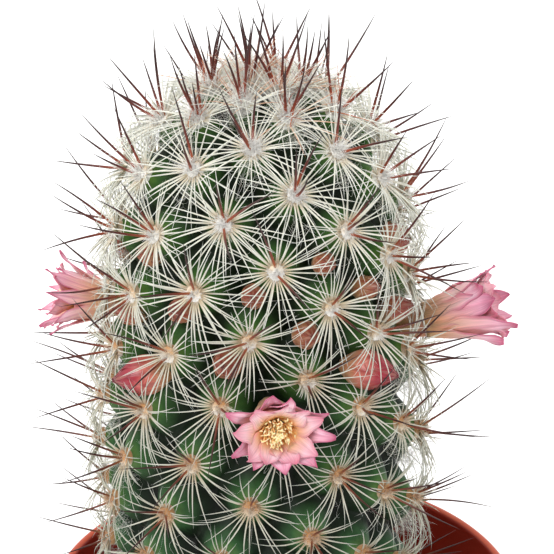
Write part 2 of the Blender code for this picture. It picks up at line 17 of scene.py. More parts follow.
import bmesh
import bpy
import numpy as np
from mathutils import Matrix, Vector

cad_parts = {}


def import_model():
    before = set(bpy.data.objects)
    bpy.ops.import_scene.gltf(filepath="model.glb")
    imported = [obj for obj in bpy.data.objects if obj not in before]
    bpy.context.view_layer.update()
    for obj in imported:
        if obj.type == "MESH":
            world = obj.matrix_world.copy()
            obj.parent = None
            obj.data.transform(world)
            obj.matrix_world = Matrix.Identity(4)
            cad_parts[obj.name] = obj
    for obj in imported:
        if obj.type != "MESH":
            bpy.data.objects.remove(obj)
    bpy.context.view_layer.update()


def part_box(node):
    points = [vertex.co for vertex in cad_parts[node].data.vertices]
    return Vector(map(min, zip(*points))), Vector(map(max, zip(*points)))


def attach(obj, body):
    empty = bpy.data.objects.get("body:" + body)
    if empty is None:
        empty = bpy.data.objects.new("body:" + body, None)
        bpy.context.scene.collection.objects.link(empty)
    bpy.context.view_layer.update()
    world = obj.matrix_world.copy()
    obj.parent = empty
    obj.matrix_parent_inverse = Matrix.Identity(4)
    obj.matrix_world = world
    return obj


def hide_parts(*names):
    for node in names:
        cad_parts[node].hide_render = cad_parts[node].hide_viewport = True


MM = 0.001
UP = np.array([0.0, 0.0, 1.0])
SOIL_DROP = 11.0 * MM  # from the pot's rim down to the soil
VIEW_ASIDE = 2.2 * MM  # from the stem's axis to the middle of the view
VIEW_ABOVE_RIM = 49.4 * MM  # from the rim up to the middle of the view
LOG = logging.getLogger("potted_cactus")

Stops = Sequence[tuple[float, str]]


def linear(code: str) -> tuple[float, float, float, float]:
    """Turn an sRGB hex value into the linear colour that shaders take.

    Args:
        code: A value such as "#3f6b3c".

    Returns:
        Red, green, blue and an alpha of 1.
    """
    channels = []
    for start in (1, 3, 5):
        value = int(code[start:start + 2], 16) / 255.0
        channels.append(value / 12.92 if value <= 0.04045 else ((value + 0.055) / 1.055) ** 2.4)
    return (*channels, 1.0)


def add_node(tree: bpy.types.NodeTree, kind: str, inputs: dict | None = None,
             stops: Stops = (), **settings: object) -> bpy.types.Node:
    """Add one node with its settings, and fill or link its inputs.

    Args:
        tree: The tree that takes the node.
        kind: The node's type name.
        inputs: By input name or number, a plain value, an output socket, or a node whose first
            output is linked.
        stops: Positions with hex colours, for a colour ramp.
        settings: The node's own properties.

    Returns:
        The new node.
    """
    node = tree.nodes.new(kind)
    for name, value in settings.items():
        setattr(node, name, value)
    for index, (position, code) in enumerate(stops):
        elements = node.color_ramp.elements
        element = elements[index] if index < len(elements) else elements.new(position)
        element.position = position
        element.color = linear(code)
    for key, value in (inputs or {}).items():
        if isinstance(key, int):
            socket = node.inputs[key]
        else:
            socket = next(item for item in node.inputs if item.enabled and item.name == key)
        if isinstance(value, bpy.types.Node):
            value = next(item for item in value.outputs if item.enabled)
        if isinstance(value, bpy.types.NodeSocket):
            tree.links.new(value, socket)
        else:
            socket.default_value = value
    return node


# --- finishes -----------------------------------------------------------------------------


@dataclass(frozen=True)
class Surface:
    """A finish: one Principled shader, with patterns that feed some of its sockets."""

    name: str

    def sockets(self, tree: bpy.types.NodeTree) -> dict:
        """Return the shader's socket values and the patterns that drive them."""
        raise NotImplementedError

    def build(self) -> bpy.types.Material:
        """Return the finish as a material."""
        material = bpy.data.materials.new(self.name)
        material.use_nodes = True
        tree = material.node_tree
        tree.nodes.clear()
        shader = add_node(tree, "ShaderNodeBsdfPrincipled", self.sockets(tree))
        add_node(tree, "ShaderNodeOutputMaterial", {"Surface": shader})
        return material


@dataclass(frozen=True)
class MouldedPlastic(Surface):
    """Injection-moulded polypropylene: soft gloss, faint rings and flow marks, a little dust."""

    outer: str = "#b8431a"
    flow: str = "#9c3613"
    # The inner wall's colour, painted darker than the outside as shade.
    inner: str = "#8a2110"
    dust: str = "#b8704c"
    roughness: float = 0.38
    dusty_roughness: float = 0.78
    dust_cover: float = 0.4
    flow_size: float = 9.0 * MM
    dust_size: float = 6.0 * MM
    ring_pitch: float = 0.8 * MM
    ring_stretch: float = 25.0
    grain_size: float = 0.5 * MM
    relief: float = 0.06 * MM

    def sockets(self, tree: bpy.types.NodeTree) -> dict:
        """Mottle and dust the colour, paint the inner wall darker as shade, and add rings and a fine
        grain.
        """
        place = add_node(tree, "ShaderNodeTexCoord").outputs["Object"]
        flow = add_node(tree, "ShaderNodeTexNoise", {
            "Vector": place, "Scale": 1.0 / self.flow_size, "Detail": 3.0})
        colour = add_node(tree, "ShaderNodeMix", {
            "Factor": flow, "A": linear(self.outer), "B": linear(self.flow)}, data_type="RGBA")
        inside = add_node(tree, "ShaderNodeAttribute", attribute_name="inside")
        patch = add_node(tree, "ShaderNodeTexNoise", {
            "Vector": place, "Scale": 1.0 / self.dust_size, "Detail": 8.0, "Roughness": 0.72})
        dusty = add_node(tree, "ShaderNodeMapRange", {
            "Value": patch, "From Min": 0.52, "From Max": 0.85, "To Max": self.dust_cover})
        worn = add_node(tree, "ShaderNodeMix", {
            "Factor": dusty, "A": colour, "B": linear(self.dust)}, data_type="RGBA")
        # Painted shade: the inner wall takes the darker colour.
        shaded_inside = add_node(tree, "ShaderNodeMix", {
            "Factor": inside.outputs["Fac"], "A": worn, "B": linear(self.inner)},
            data_type="RGBA")
        dull = add_node(tree, "ShaderNodeMapRange", {
            "Value": dusty, "To Min": self.roughness, "To Max": self.dusty_roughness})
        level = add_node(tree, "ShaderNodeVectorMath", {
            0: place, 1: (1.0 / self.ring_stretch, 1.0 / self.ring_stretch, 1.0)},
            operation="MULTIPLY")
        rings = add_node(tree, "ShaderNodeTexNoise", {
            "Vector": level, "Scale": 1.0 / self.ring_pitch, "Detail": 3.0})
        grain = add_node(tree, "ShaderNodeTexNoise", {
            "Vector": place, "Scale": 1.0 / self.grain_size, "Detail": 2.0})
        height = add_node(tree, "ShaderNodeMath", {0: rings, 1: grain}, operation="ADD")
        bump = add_node(tree, "ShaderNodeBump", {
            "Strength": 0.2, "Distance": self.relief, "Height": height})
        return {
            "Base Color": shaded_inside, "Normal": bump, "Roughness": dull, "IOR": 1.49,
            "Specular IOR Level": 0.28}


@dataclass(frozen=True)
class PeatSoil(Surface):
    """Damp peat and grit: dark and matt, mottled at the size of its crumbs."""

    dark: str = "#1d140d"
    light: str = "#4a3625"
    crumb_size: float = 1.1 * MM
    fine_size: float = 0.7 * MM
    relief: float = 0.4 * MM

    def sockets(self, tree: bpy.types.NodeTree) -> dict:
        """Break colour and relief up into crumbs."""
        place = add_node(tree, "ShaderNodeTexCoord").outputs["Object"]
        crumb = add_node(tree, "ShaderNodeTexVoronoi", {
            "Vector": place, "Scale": 1.0 / self.crumb_size})
        fine = add_node(tree, "ShaderNodeTexNoise", {
            "Vector": place, "Scale": 1.0 / self.fine_size, "Detail": 4.0})
        mixed = add_node(tree, "ShaderNodeMath", {
            0: crumb.outputs["Distance"], 1: fine}, operation="MULTIPLY")
        colour = add_node(tree, "ShaderNodeValToRGB", {"Fac": mixed}, (
            (0.05, self.dark), (0.5, self.light)))
        bump = add_node(tree, "ShaderNodeBump", {
            "Strength": 0.8, "Distance": self.relief, "Height": mixed})
        return {"Base Color": colour, "Normal": bump, "Roughness": 0.93}


@dataclass(frozen=True)
class SoilGrain(Surface):
    """Grit, bark and perlite crumbs: matt grains whose tone changes from one to the next."""

    tones: Stops = ((0.0, "#2a1c13"), (0.55, "#4d3827"), (0.8, "#75614c"), (0.93, "#cfc8bb"))
    pore_size: float = 0.3 * MM
    pore_depth: float = 0.1 * MM

    def sockets(self, tree: bpy.types.NodeTree) -> dict:
        """Give each grain a tone of its own, and pit it."""
        tone = add_node(tree, "ShaderNodeAttribute", attribute_name="tone")
        colour = add_node(tree, "ShaderNodeValToRGB", {"Fac": tone.outputs["Fac"]}, self.tones)
        place = add_node(tree, "ShaderNodeTexCoord").outputs["Object"]
        pores = add_node(tree, "ShaderNodeTexNoise", {
            "Vector": place, "Scale": 1.0 / self.pore_size, "Detail": 2.0})
        bump = add_node(tree, "ShaderNodeBump", {
            "Strength": 0.5, "Distance": self.pore_depth, "Height": pores})
        return {"Base Color": colour, "Normal": bump, "Roughness": 0.88}


@dataclass(frozen=True)
class CactusSkin(Surface):
    """Living epidermis: green, finely pitted and faintly waxy, with painted shade that turns it near
    black in the grooves.
    """

    # Each ramp runs from tubercle tip to groove; its dark end is painted shade in the grooves.
    young: Stops = ((0.0, "#587833"), (0.28, "#2d511e"), (0.62, "#0f200a"), (1.0, "#060c03"))
    old: Stops = ((0.0, "#5a784b"), (0.28, "#2d5236"), (0.62, "#0f2114"), (1.0, "#050a06"))
    roughness: float = 0.5
    mottle_size: float = 1.8 * MM
    darkest: float = 0.6
    lightest: float = 1.4
    pit_size: float = 0.35 * MM
    pit_depth: float = 0.06 * MM
    scatter: float = 1.0 * MM

    def sockets(self, tree: bpy.types.NodeTree) -> dict:
        """Darken from tubercle tip to groove as painted shade, turn bluer with age, mottle and pit
        the skin.
        """
        place = add_node(tree, "ShaderNodeTexCoord").outputs["Object"]
        depth = add_node(tree, "ShaderNodeAttribute", attribute_name="depth").outputs["Fac"]
        age = add_node(tree, "ShaderNodeAttribute", attribute_name="age").outputs["Fac"]
        late = add_node(tree, "ShaderNodeMapRange", {
            "Value": age, "From Min": 0.35, "From Max": 0.85})
        aged = add_node(tree, "ShaderNodeMix", {
            "Factor": late,
            "A": add_node(tree, "ShaderNodeValToRGB", {"Fac": depth}, self.young),
            "B": add_node(tree, "ShaderNodeValToRGB", {"Fac": depth}, self.old),
        }, data_type="RGBA")
        mottle = add_node(tree, "ShaderNodeTexNoise", {
            "Vector": place, "Scale": 1.0 / self.mottle_size, "Detail": 6.0, "Roughness": 0.65})
        shade = add_node(tree, "ShaderNodeMapRange", {
            "Value": mottle, "From Min": 0.25, "From Max": 0.75, "To Min": self.darkest,
            "To Max": self.lightest})
        toned = add_node(tree, "ShaderNodeVectorMath", {
            0: aged, "Scale": shade}, operation="SCALE")
        pits = add_node(tree, "ShaderNodeTexVoronoi", {
            "Vector": place, "Scale": 1.0 / self.pit_size})
        bump = add_node(tree, "ShaderNodeBump", {
            "Strength": 0.35, "Distance": self.pit_depth, "Height": pits.outputs["Distance"]})
        return {
            "Base Color": toned, "Normal": bump, "Roughness": self.roughness, "IOR": 1.42,
            "Specular IOR Level": 0.2,
            "Subsurface Weight": 0.1, "Subsurface Radius": (0.5, 1.0, 0.3),
            "Subsurface Scale": self.scatter}


@dataclass(frozen=True)
class Horn(Surface):
    """Spine horn: a hard fibre with a soft gloss, coloured from root to tip.

    A milky horn glows a little where light falls on it, and a clear one lets through some of
    what lies behind it.
    """

    young: Stops
    old: Stops
    roughness: float = 0.4
    milkiness: float = 0.0
    clarity: float = 0.0
    scatter: float = 0.3 * MM

    def sockets(self, tree: bpy.types.NodeTree) -> dict:
        """Run the colour along the spine, and let it weather with age."""
        along = add_node(tree, "ShaderNodeAttribute", attribute_name="along").outputs["Fac"]
        age = add_node(tree, "ShaderNodeAttribute", attribute_name="age").outputs["Fac"]
        colour = add_node(tree, "ShaderNodeMix", {
            "Factor": age,
            "A": add_node(tree, "ShaderNodeValToRGB", {"Fac": along}, self.young),
            "B": add_node(tree, "ShaderNodeValToRGB", {"Fac": along}, self.old),
        }, data_type="RGBA")
        return {
            "Base Color": colour, "Roughness": self.roughness, "IOR": 1.54,
            "Specular IOR Level": 0.3, "Transmission Weight": self.clarity,
            "Subsurface Weight": self.milkiness, "Subsurface Radius": (1.0, 0.9, 0.75),
            "Subsurface Scale": self.scatter}


@dataclass(frozen=True)
class Wool(Surface):
    """Areole felt: a mat of very fine hairs, white at first and tan with age."""

    tones: Stops = ((0.2, "#fbf9f4"), (0.38, "#e6d2b4"), (0.6, "#c08e5c"), (1.0, "#a27648"))
    patch_size: float = 0.8 * MM
    patch_swing: float = 0.16

    def sockets(self, tree: bpy.types.NodeTree) -> dict:
        """Patch the wool's tone, and give it the soft edge of felt."""
        place = add_node(tree, "ShaderNodeTexCoord").outputs["Object"]
        age = add_node(tree, "ShaderNodeAttribute", attribute_name="age").outputs["Fac"]
        patch = add_node(tree, "ShaderNodeTexNoise", {
            "Vector": place, "Scale": 1.0 / self.patch_size, "Detail": 3.0})
        swing = add_node(tree, "ShaderNodeMapRange", {
            "Value": patch, "To Min": -self.patch_swing, "To Max": self.patch_swing})
        worn = add_node(tree, "ShaderNodeMath", {0: age, 1: swing}, operation="ADD")
        colour = add_node(tree, "ShaderNodeValToRGB", {"Fac": worn}, self.tones)
        return {
            "Base Color": colour, "Roughness": 0.9, "Sheen Weight": 0.6, "Sheen Roughness": 0.5}


@dataclass(frozen=True)
class Tepal(Surface):
    """Petal tissue: thin satin cells with a deep stripe up the middle and fine veins."""

    young: Stops
    ripe: Stops
    stripe: str
    margin: str
    stripe_width: float = 0.2
    stripe_strength: float = 0.8
    margin_strength: float = 0.6
    gloss: float = 0.5
    veins: float = 26.0
    vein_length: float = 0.5
    vein_depth: float = 0.06 * MM
    scatter: float = 0.5 * MM

    def sockets(self, tree: bpy.types.NodeTree) -> dict:
        """Run the colour from foot to tip, lay the stripe on it and draw the veins."""
        across, along, age = (
            add_node(tree, "ShaderNodeAttribute", attribute_name=name).outputs["Fac"]
            for name in ("across", "along", "age"))
        blade = add_node(tree, "ShaderNodeMix", {
            "Factor": age,
            "A": add_node(tree, "ShaderNodeValToRGB", {"Fac": along}, self.young),
            "B": add_node(tree, "ShaderNodeValToRGB", {"Fac": along}, self.ripe),
        }, data_type="RGBA")
        aside = add_node(tree, "ShaderNodeMath", {
            0: add_node(tree, "ShaderNodeMath", {0: across, 1: 0.5}, operation="SUBTRACT"),
        }, operation="ABSOLUTE")
        line = add_node(tree, "ShaderNodeMapRange", {
            "Value": aside, "From Min": 0.02, "From Max": self.stripe_width,
            "To Min": self.stripe_strength, "To Max": 0.0}, interpolation_type="SMOOTHSTEP")
        edge = add_node(tree, "ShaderNodeMapRange", {
            "Value": aside, "From Min": 0.3, "From Max": 0.5, "To Min": 0.0,
            "To Max": self.margin_strength}, interpolation_type="SMOOTHSTEP")
        grow = add_node(tree, "ShaderNodeMapRange", {
            "Value": along, "From Min": 0.15, "From Max": 0.65, "To Min": 0.1, "To Max": 1.0,
        }, interpolation_type="SMOOTHSTEP")
        colour = blade
        for amount, tint in ((line, self.stripe), (edge, self.margin)):
            share = add_node(tree, "ShaderNodeMath", {0: amount, 1: grow}, operation="MULTIPLY")
            colour = add_node(tree, "ShaderNodeMix", {
                "Factor": share, "A": colour, "B": linear(tint)}, data_type="RGBA")
        spot = add_node(tree, "ShaderNodeCombineXYZ", {
            axis: add_node(tree, "ShaderNodeMath", {0: value, 1: scale}, operation="MULTIPLY")
            for axis, value, scale in (
                ("X", across, self.veins), ("Y", along, 1.0 / self.vein_length),
                ("Z", age, 37.0))})
        streak = add_node(tree, "ShaderNodeTexNoise", {
            "Vector": spot, "Scale": 1.0, "Detail": 3.0})
        shade = add_node(tree, "ShaderNodeMapRange", {
            "Value": streak, "From Min": 0.3, "From Max": 0.7, "To Min": 0.78, "To Max": 1.16})
        toned = add_node(tree, "ShaderNodeVectorMath", {
            0: colour, "Scale": shade}, operation="SCALE")
        bump = add_node(tree, "ShaderNodeBump", {
            "Strength": 0.5, "Distance": self.vein_depth, "Height": streak})
        return {
            "Base Color": toned, "Normal": bump, "Roughness": self.gloss,
            "Subsurface Weight": 0.3, "Subsurface Radius": (1.0, 0.45, 0.5),
            "Subsurface Scale": self.scatter, "Sheen Weight": 0.1}


@dataclass(frozen=True)
class SoftTissue(Surface):
    """Moist flower tissue in one hue, such as pollen sacs, filaments or a stigma."""

    dark: str
    light: str
    grain: float
    roughness: float = 0.6
    scatter: float = 0.4 * MM

    def sockets(self, tree: bpy.types.NodeTree) -> dict:
        """Speckle the tissue at the size of its grains."""
        place = add_node(tree, "ShaderNodeTexCoord").outputs["Object"]
        speck = add_node(tree, "ShaderNodeTexNoise", {
            "Vector": place, "Scale": 1.0 / self.grain, "Detail": 3.0})
        colour = add_node(tree, "ShaderNodeValToRGB", {"Fac": speck}, (
            (0.35, self.dark), (0.65, self.light)))
        return {
            "Base Color": colour, "Roughness": self.roughness, "Subsurface Weight": 0.2,
            "Subsurface Scale": self.scatter}


NEW_HORN: Stops = ((0.0, "#e2d2b8"), (0.5, "#d4b097"), (1.0, "#b4694a"))
CURLY_HORN: Stops = ((0.0, "#c98a55"), (0.5, "#b0592a"), (1.0, "#8a3c1c"))
WHITE_FLEECE: Stops = ((0.0, "#f4f0e6"), (1.0, "#fbfaf6"))


class Finish(Enum):
    """Every finish on the object."""

    # Dull orange-brown plastic; the inside is painted darker and redder as shade.
    POT = MouldedPlastic("terracotta_polypropylene")
    # Near-black peat with brown, grey and white grains on it.
    SOIL = PeatSoil("peat_soil")
    GRAIN = SoilGrain("grit_and_perlite")
    # Yellow-green at the crown, blue-green lower down, painted near black in the grooves as shade.
    SKIN = CactusSkin("cactus_epidermis")
    # Ivory needles with a tan root, greyer with age.
    RADIAL = Horn(
        "white_spine_horn",
        ((0.0, "#e4cca4"), (0.24, "#f2f0e2"), (1.0, "#eceee4")),
        ((0.0, "#9a7444"), (0.26, "#9b9883"), (1.0, "#979b8f")), 0.45, 0.3, 0.15)
    # White hairs, half clear, that show as a haze against the light.
    FLEECE = Horn("axil_fleece", WHITE_FLEECE, WHITE_FLEECE, 0.7, 0.3, 0.4)
    # The youngest radials, still pink at their tips.
    NEW_RADIAL = Horn("new_spine_horn", NEW_HORN, NEW_HORN, 0.45, 0.15)
    # Orange root, red-brown middle, near-black tip, greyer with age.
    CENTRAL = Horn(
        "brown_spine_horn",
        ((0.0, "#cc7a45"), (0.14, "#a04626"), (0.34, "#6a2214"), (0.6, "#36110e"),
         (1.0, "#140808")),
        ((0.0, "#a47e52"), (0.18, "#663c2c"), (0.5, "#3c2220"), (1.0, "#2a1f22")), 0.45)
    # The orange threads among the youngest spines.
    CURL = Horn("curly_crown_horn", CURLY_HORN, CURLY_HORN, 0.45)
    # Snow-white felt that turns tan.
    WOOL = Wool("areole_wool")
    # Inner petals: orange throat, pale pink blade.
    PETAL = Tepal(
        "petal_satin",
        ((0.0, "#eaa04c"), (0.34, "#e6a45e"), (0.52, "#deaa94"), (0.74, "#e0bac0"),
         (1.0, "#cf8396")),
        ((0.0, "#e6984a"), (0.36, "#e29a56"), (0.54, "#da9884"), (0.76, "#d79eaa"),
         (1.0, "#bf5c78")), "#d08c98", "#c46c82", 0.12, 0.3, 0.5)
    # Outer petals: tan foot, pink blade, crimson edge and tip.
    SEPAL = Tepal(
        "sepal_satin",
        ((0.0, "#cc9c6c"), (0.24, "#e0a888"), (0.48, "#ebb8b0"), (0.78, "#efc2cf"),
         (1.0, "#bc5078")),
        ((0.0, "#c09058"), (0.24, "#da9a7a"), (0.48, "#e4a4a4"), (0.78, "#e09eb6"),
         (1.0, "#96305a")), "#cc7a94", "#b24c70", 0.14, 0.45, 0.75)
    # Brown scales on a closed bud, peach to dark red on a ripe one.
    BUD = Tepal(
        "bud_scale",
        ((0.0, "#8f7a4e"), (0.45, "#b4855a"), (0.8, "#a86a4c"), (1.0, "#7c3c30")),
        ((0.0, "#b4824e"), (0.3, "#e29c78"), (0.48, "#de7a6a"), (0.72, "#a02234"),
         (1.0, "#5a0e1c")), "#90202e", "#e8b09c", 0.16, 0.55, 0.2, gloss=0.26)
    # Tan to salmon outside, orange inside the cup.
    TUBE = Tepal(
        "floral_tube_skin",
        ((0.0, "#b48a54"), (0.45, "#d2947a"), (0.8, "#d88c82"), (1.0, "#dc9490")),
        ((0.0, "#f6b45c"), (0.5, "#f6b664"), (1.0, "#f4bc74")), "#c87a60", "#c87a60", 0.3, 0.0)
    # Light orange stalks with pale, dusty sacs, and a cream stigma among them.
    FILAMENT = SoftTissue("filament_tissue", "#f2ba6c", "#f8d090", 1.0 * MM)
    ANTHER = SoftTissue("pollen_sacs", "#ecd090", "#f6e6bc", 0.25 * MM, 0.85)
    STIGMA = SoftTissue("stigma_tissue", "#ecd692", "#f6ecc4", 0.3 * MM, 0.7)

    def material(self) -> bpy.types.Material:
        """Return this finish's one material, built at its first use."""
        return bpy.data.materials.get(self.value.name) or self.value.build()


# --- mesh and node-tree helpers ------------------------------------------------------------


@dataclass
class Sheets:
    """Grids of points gathered into one mesh, with named values at their points."""

    points: list[np.ndarray] = field(default_factory=list)
    quads: list[np.ndarray] = field(default_factory=list)
    values: dict[str, list[np.ndarray]] = field(default_factory=dict)
    count: int = 0

    def add(self, grid: np.ndarray, wrap: bool = False, **values: np.ndarray | float) -> None:
        """Add one grid of points.

        Args:
            grid: Points in rows and columns.
            wrap: Whether the last column joins the first.
            values: Named values, each one number or a grid of them.
        """
        rows, columns = grid.shape[:2]
        index = self.count + np.arange(rows * columns).reshape(rows, columns)
        if wrap:
            index = np.concatenate([index, index[:, :1]], axis=1)
        self.quads.append(np.stack(
            [index[:-1, :-1], index[:-1, 1:], index[1:, 1:], index[1:, :-1]], -1).reshape(-1, 4))
        self.points.append(grid.reshape(-1, 3))
        for name, value in values.items():
            spread = np.broadcast_to(np.asarray(value, float), (rows, columns)).reshape(-1)
            self.values.setdefault(name, []).append(spread)
        self.count += rows * columns

    def build(self, name: str, finish: Finish, closed: bool = True) -> bpy.types.Object:
        """Return the grids as one object.

        Args:
            name: The object's name.
            finish: Its finish.
            closed: Whether doubles are merged and faces turned outwards, as on a shut body.

        Returns:
            The object, in the scene.
        """
        mesh = bpy.data.meshes.new(name)
        mesh.from_pydata(np.concatenate(self.points), [], np.concatenate(self.quads).tolist())
        for key, parts in self.values.items():
            layer = mesh.attributes.new(key, "FLOAT", "POINT")
            layer.data.foreach_set("value", np.concatenate(parts).astype(np.float32))
        if closed:
            bm = bmesh.new()
            bm.from_mesh(mesh)
            bmesh.ops.remove_doubles(bm, verts=bm.verts[:], dist=0.5e-6)
            bmesh.ops.recalc_face_normals(bm, faces=bm.faces[:])
            bm.to_mesh(mesh)
            bm.free()
        mesh.shade_smooth()
        mesh.materials.append(finish.material())
        return link(name, mesh)


def link(name: str, mesh: bpy.types.Mesh) -> bpy.types.Object:
    """Put a mesh in the scene as an object at the origin."""
    item = bpy.data.objects.new(name, mesh)
    bpy.context.scene.collection.objects.link(item)
    return item


def settle(item: bpy.types.Object, keep: Iterable[str] = ()) -> bpy.types.Object:
    """Turn an object's modifiers into plain mesh.

    Args:
        item: The object with live modifiers.
        keep: The named values that the finish reads.

    Returns:
        The same object, without modifiers.
    """
    graph = bpy.context.evaluated_depsgraph_get()
    mesh = bpy.data.meshes.new_from_object(item.evaluated_get(graph), depsgraph=graph)
    item.modifiers.clear()
    item.data = mesh
    mesh.name = item.name
    kept = set(keep)
    for layer in [layer for layer in mesh.attributes if not layer.is_internal]:
        if layer.domain == "POINT" and layer.name not in kept and not layer.is_required:
            mesh.attributes.remove(layer)
    return item


def turned(outline: np.ndarray, sides: int, centre: np.ndarray | None = None) -> np.ndarray:
    """Turn an outline about Z.

    Args:
        outline: Rows of radius and height.
        sides: Steps round the axis.
        centre: Where the axis stands, if not at the origin.

    Returns:
        A grid of points, one row for each point of the outline.
    """
    turn = np.arange(sides) * 2.0 * math.pi / sides
    grid = np.empty((len(outline), sides, 3))
    grid[..., 0] = outline[:, :1] * np.cos(turn)
    grid[..., 1] = outline[:, :1] * np.sin(turn)
    grid[..., 2] = outline[:, 1:]
    return grid if centre is None else grid + centre


def arc(centre: tuple[float, float], radius: float, start: float, stop: float,
        steps: int) -> list[tuple[float, float]]:
    """Return the points of a round corner, with its angles in degrees."""
    angles = np.radians(np.linspace(start, stop, steps))
    return [(centre[0] + radius * math.cos(a), centre[1] + radius * math.sin(a)) for a in angles]


def place_piece(piece: bpy.types.Object, slot: str, *replaced: str) -> None:
    """Ride a finished piece on the plant's one body and hide the parts of the frame that it stands in
    for.
    """
    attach(piece, "root")
    if replaced:
        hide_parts(*replaced)
    LOG.info("%s: %d faces", piece.name, len(piece.data.polygons))


def start_tree(name: str, sockets: dict[str, str]) -> tuple[bpy.types.NodeTree, bpy.types.Node]:
    """Start a geometry tree with its named inputs.

    Args:
        name: The tree's name.
        sockets: The inputs after the geometry, as names with socket types.

    Returns:
        The tree and its input node.
    """
    tree = bpy.data.node_groups.new(name, "GeometryNodeTree")
    tree.interface.new_socket("Geometry", in_out="INPUT", socket_type="NodeSocketGeometry")
    for label, kind in sockets.items():
        tree.interface.new_socket(label, in_out="INPUT", socket_type=kind)
    tree.interface.new_socket("Geometry", in_out="OUTPUT", socket_type="NodeSocketGeometry")
    return tree, tree.nodes.new("NodeGroupInput")


def end_tree(tree: bpy.types.NodeTree, geometry: bpy.types.Node,
             material: bpy.types.NodeSocket) -> None:
    """Realize, smooth and dress the geometry, and send it to the tree's output."""
    real = add_node(tree, "GeometryNodeRealizeInstances", {"Geometry": geometry})
    smooth = add_node(tree, "GeometryNodeSetShadeSmooth", {"Geometry": real})
    dressed = add_node(tree, "GeometryNodeSetMaterial", {"Geometry": smooth, "Material": material})
    add_node(tree, "NodeGroupOutput", {"Geometry": dressed})


def run_tree(item: bpy.types.Object, tree: bpy.types.NodeTree, values: dict[str, object],
             keep: Iterable[str]) -> bpy.types.Object:
    """Run a geometry tree on an object and settle the result.

    Args:
        item: The object that holds the tree's starting mesh.
        tree: The tree.
        values: Input values by the sockets' names.
        keep: The named values that the finish reads.

    Returns:
        The object, as plain mesh.
    """
    modifier = item.modifiers.new(tree.name, "NODES")
    modifier.node_group = tree
    for socket in tree.interface.items_tree:
        if socket.in_out == "INPUT" and socket.name in values:
            modifier[socket.identifier] = values[socket.name]
    item.update_tag()
    return settle(item, keep)


@dataclass
class Fibres:
    """Spines or hairs before they are drawn: one row of each array for one fibre."""

    start: list[np.ndarray] = field(default_factory=list)
    direction: list[np.ndarray] = field(default_factory=list)
    sway: list[np.ndarray] = field(default_factory=list)
    curl: list[np.ndarray] = field(default_factory=list)
    length: list[float] = field(default_factory=list)
    radius: list[float] = field(default_factory=list)
    age: list[float] = field(default_factory=list)

    def add(self, start: np.ndarray, direction: np.ndarray, length: float, radius: float,
            age: float, sway: np.ndarray | None = None, curl: np.ndarray | None = None) -> None:
        """Add one fibre.

        Args:
            start: Its root.
            direction: Where it sets off.
            length: Its length.
            radius: Its root radius.
            age: 0 when young, 1 when old.
            sway: How far its tip leans from straight.
            curl: How far it waves to either side on the way.
        """
        self.start.append(start)
        self.direction.append(direction)
        self.length.append(length)
        self.radius.append(radius)
        self.age.append(age)
        self.sway.append(np.zeros(3) if sway is None else sway)
        self.curl.append(np.zeros(3) if curl is None else curl)

    def draw(self, name: str, finish: Finish, sides: int, segments: int,
             taper: float) -> bpy.types.Object:
        """Return the fibres as one piece.

        Args:
            name: The piece's name.
            finish: Its finish.
            sides: Sides of each fibre.
            segments: Steps along each fibre.
            taper: 1 for a straight cone, more for a fibre that stays stout to near its tip.

        Returns:
            The piece, as plain mesh.
        """
        mesh = bpy.data.meshes.new(name)
        mesh.from_pydata(np.array(self.start), [], [])
        for key in ("direction", "sway", "curl"):
            layer = mesh.attributes.new(key, "FLOAT_VECTOR", "POINT")
            layer.data.foreach_set("vector", np.array(getattr(self, key), np.float32).ravel())
        for key in ("length", "radius", "age"):
            layer = mesh.attributes.new(key, "FLOAT", "POINT")
            layer.data.foreach_set("value", np.array(getattr(self, key), np.float32))
        mesh.materials.append(finish.material())
        tree = bpy.data.node_groups.get("grow_fibres") or fibre_tree()
        return run_tree(link(name, mesh), tree, {
            "Sides": sides, "Segments": segments, "Taper": taper,
            "Finish": finish.material()}, ("along", "age"))


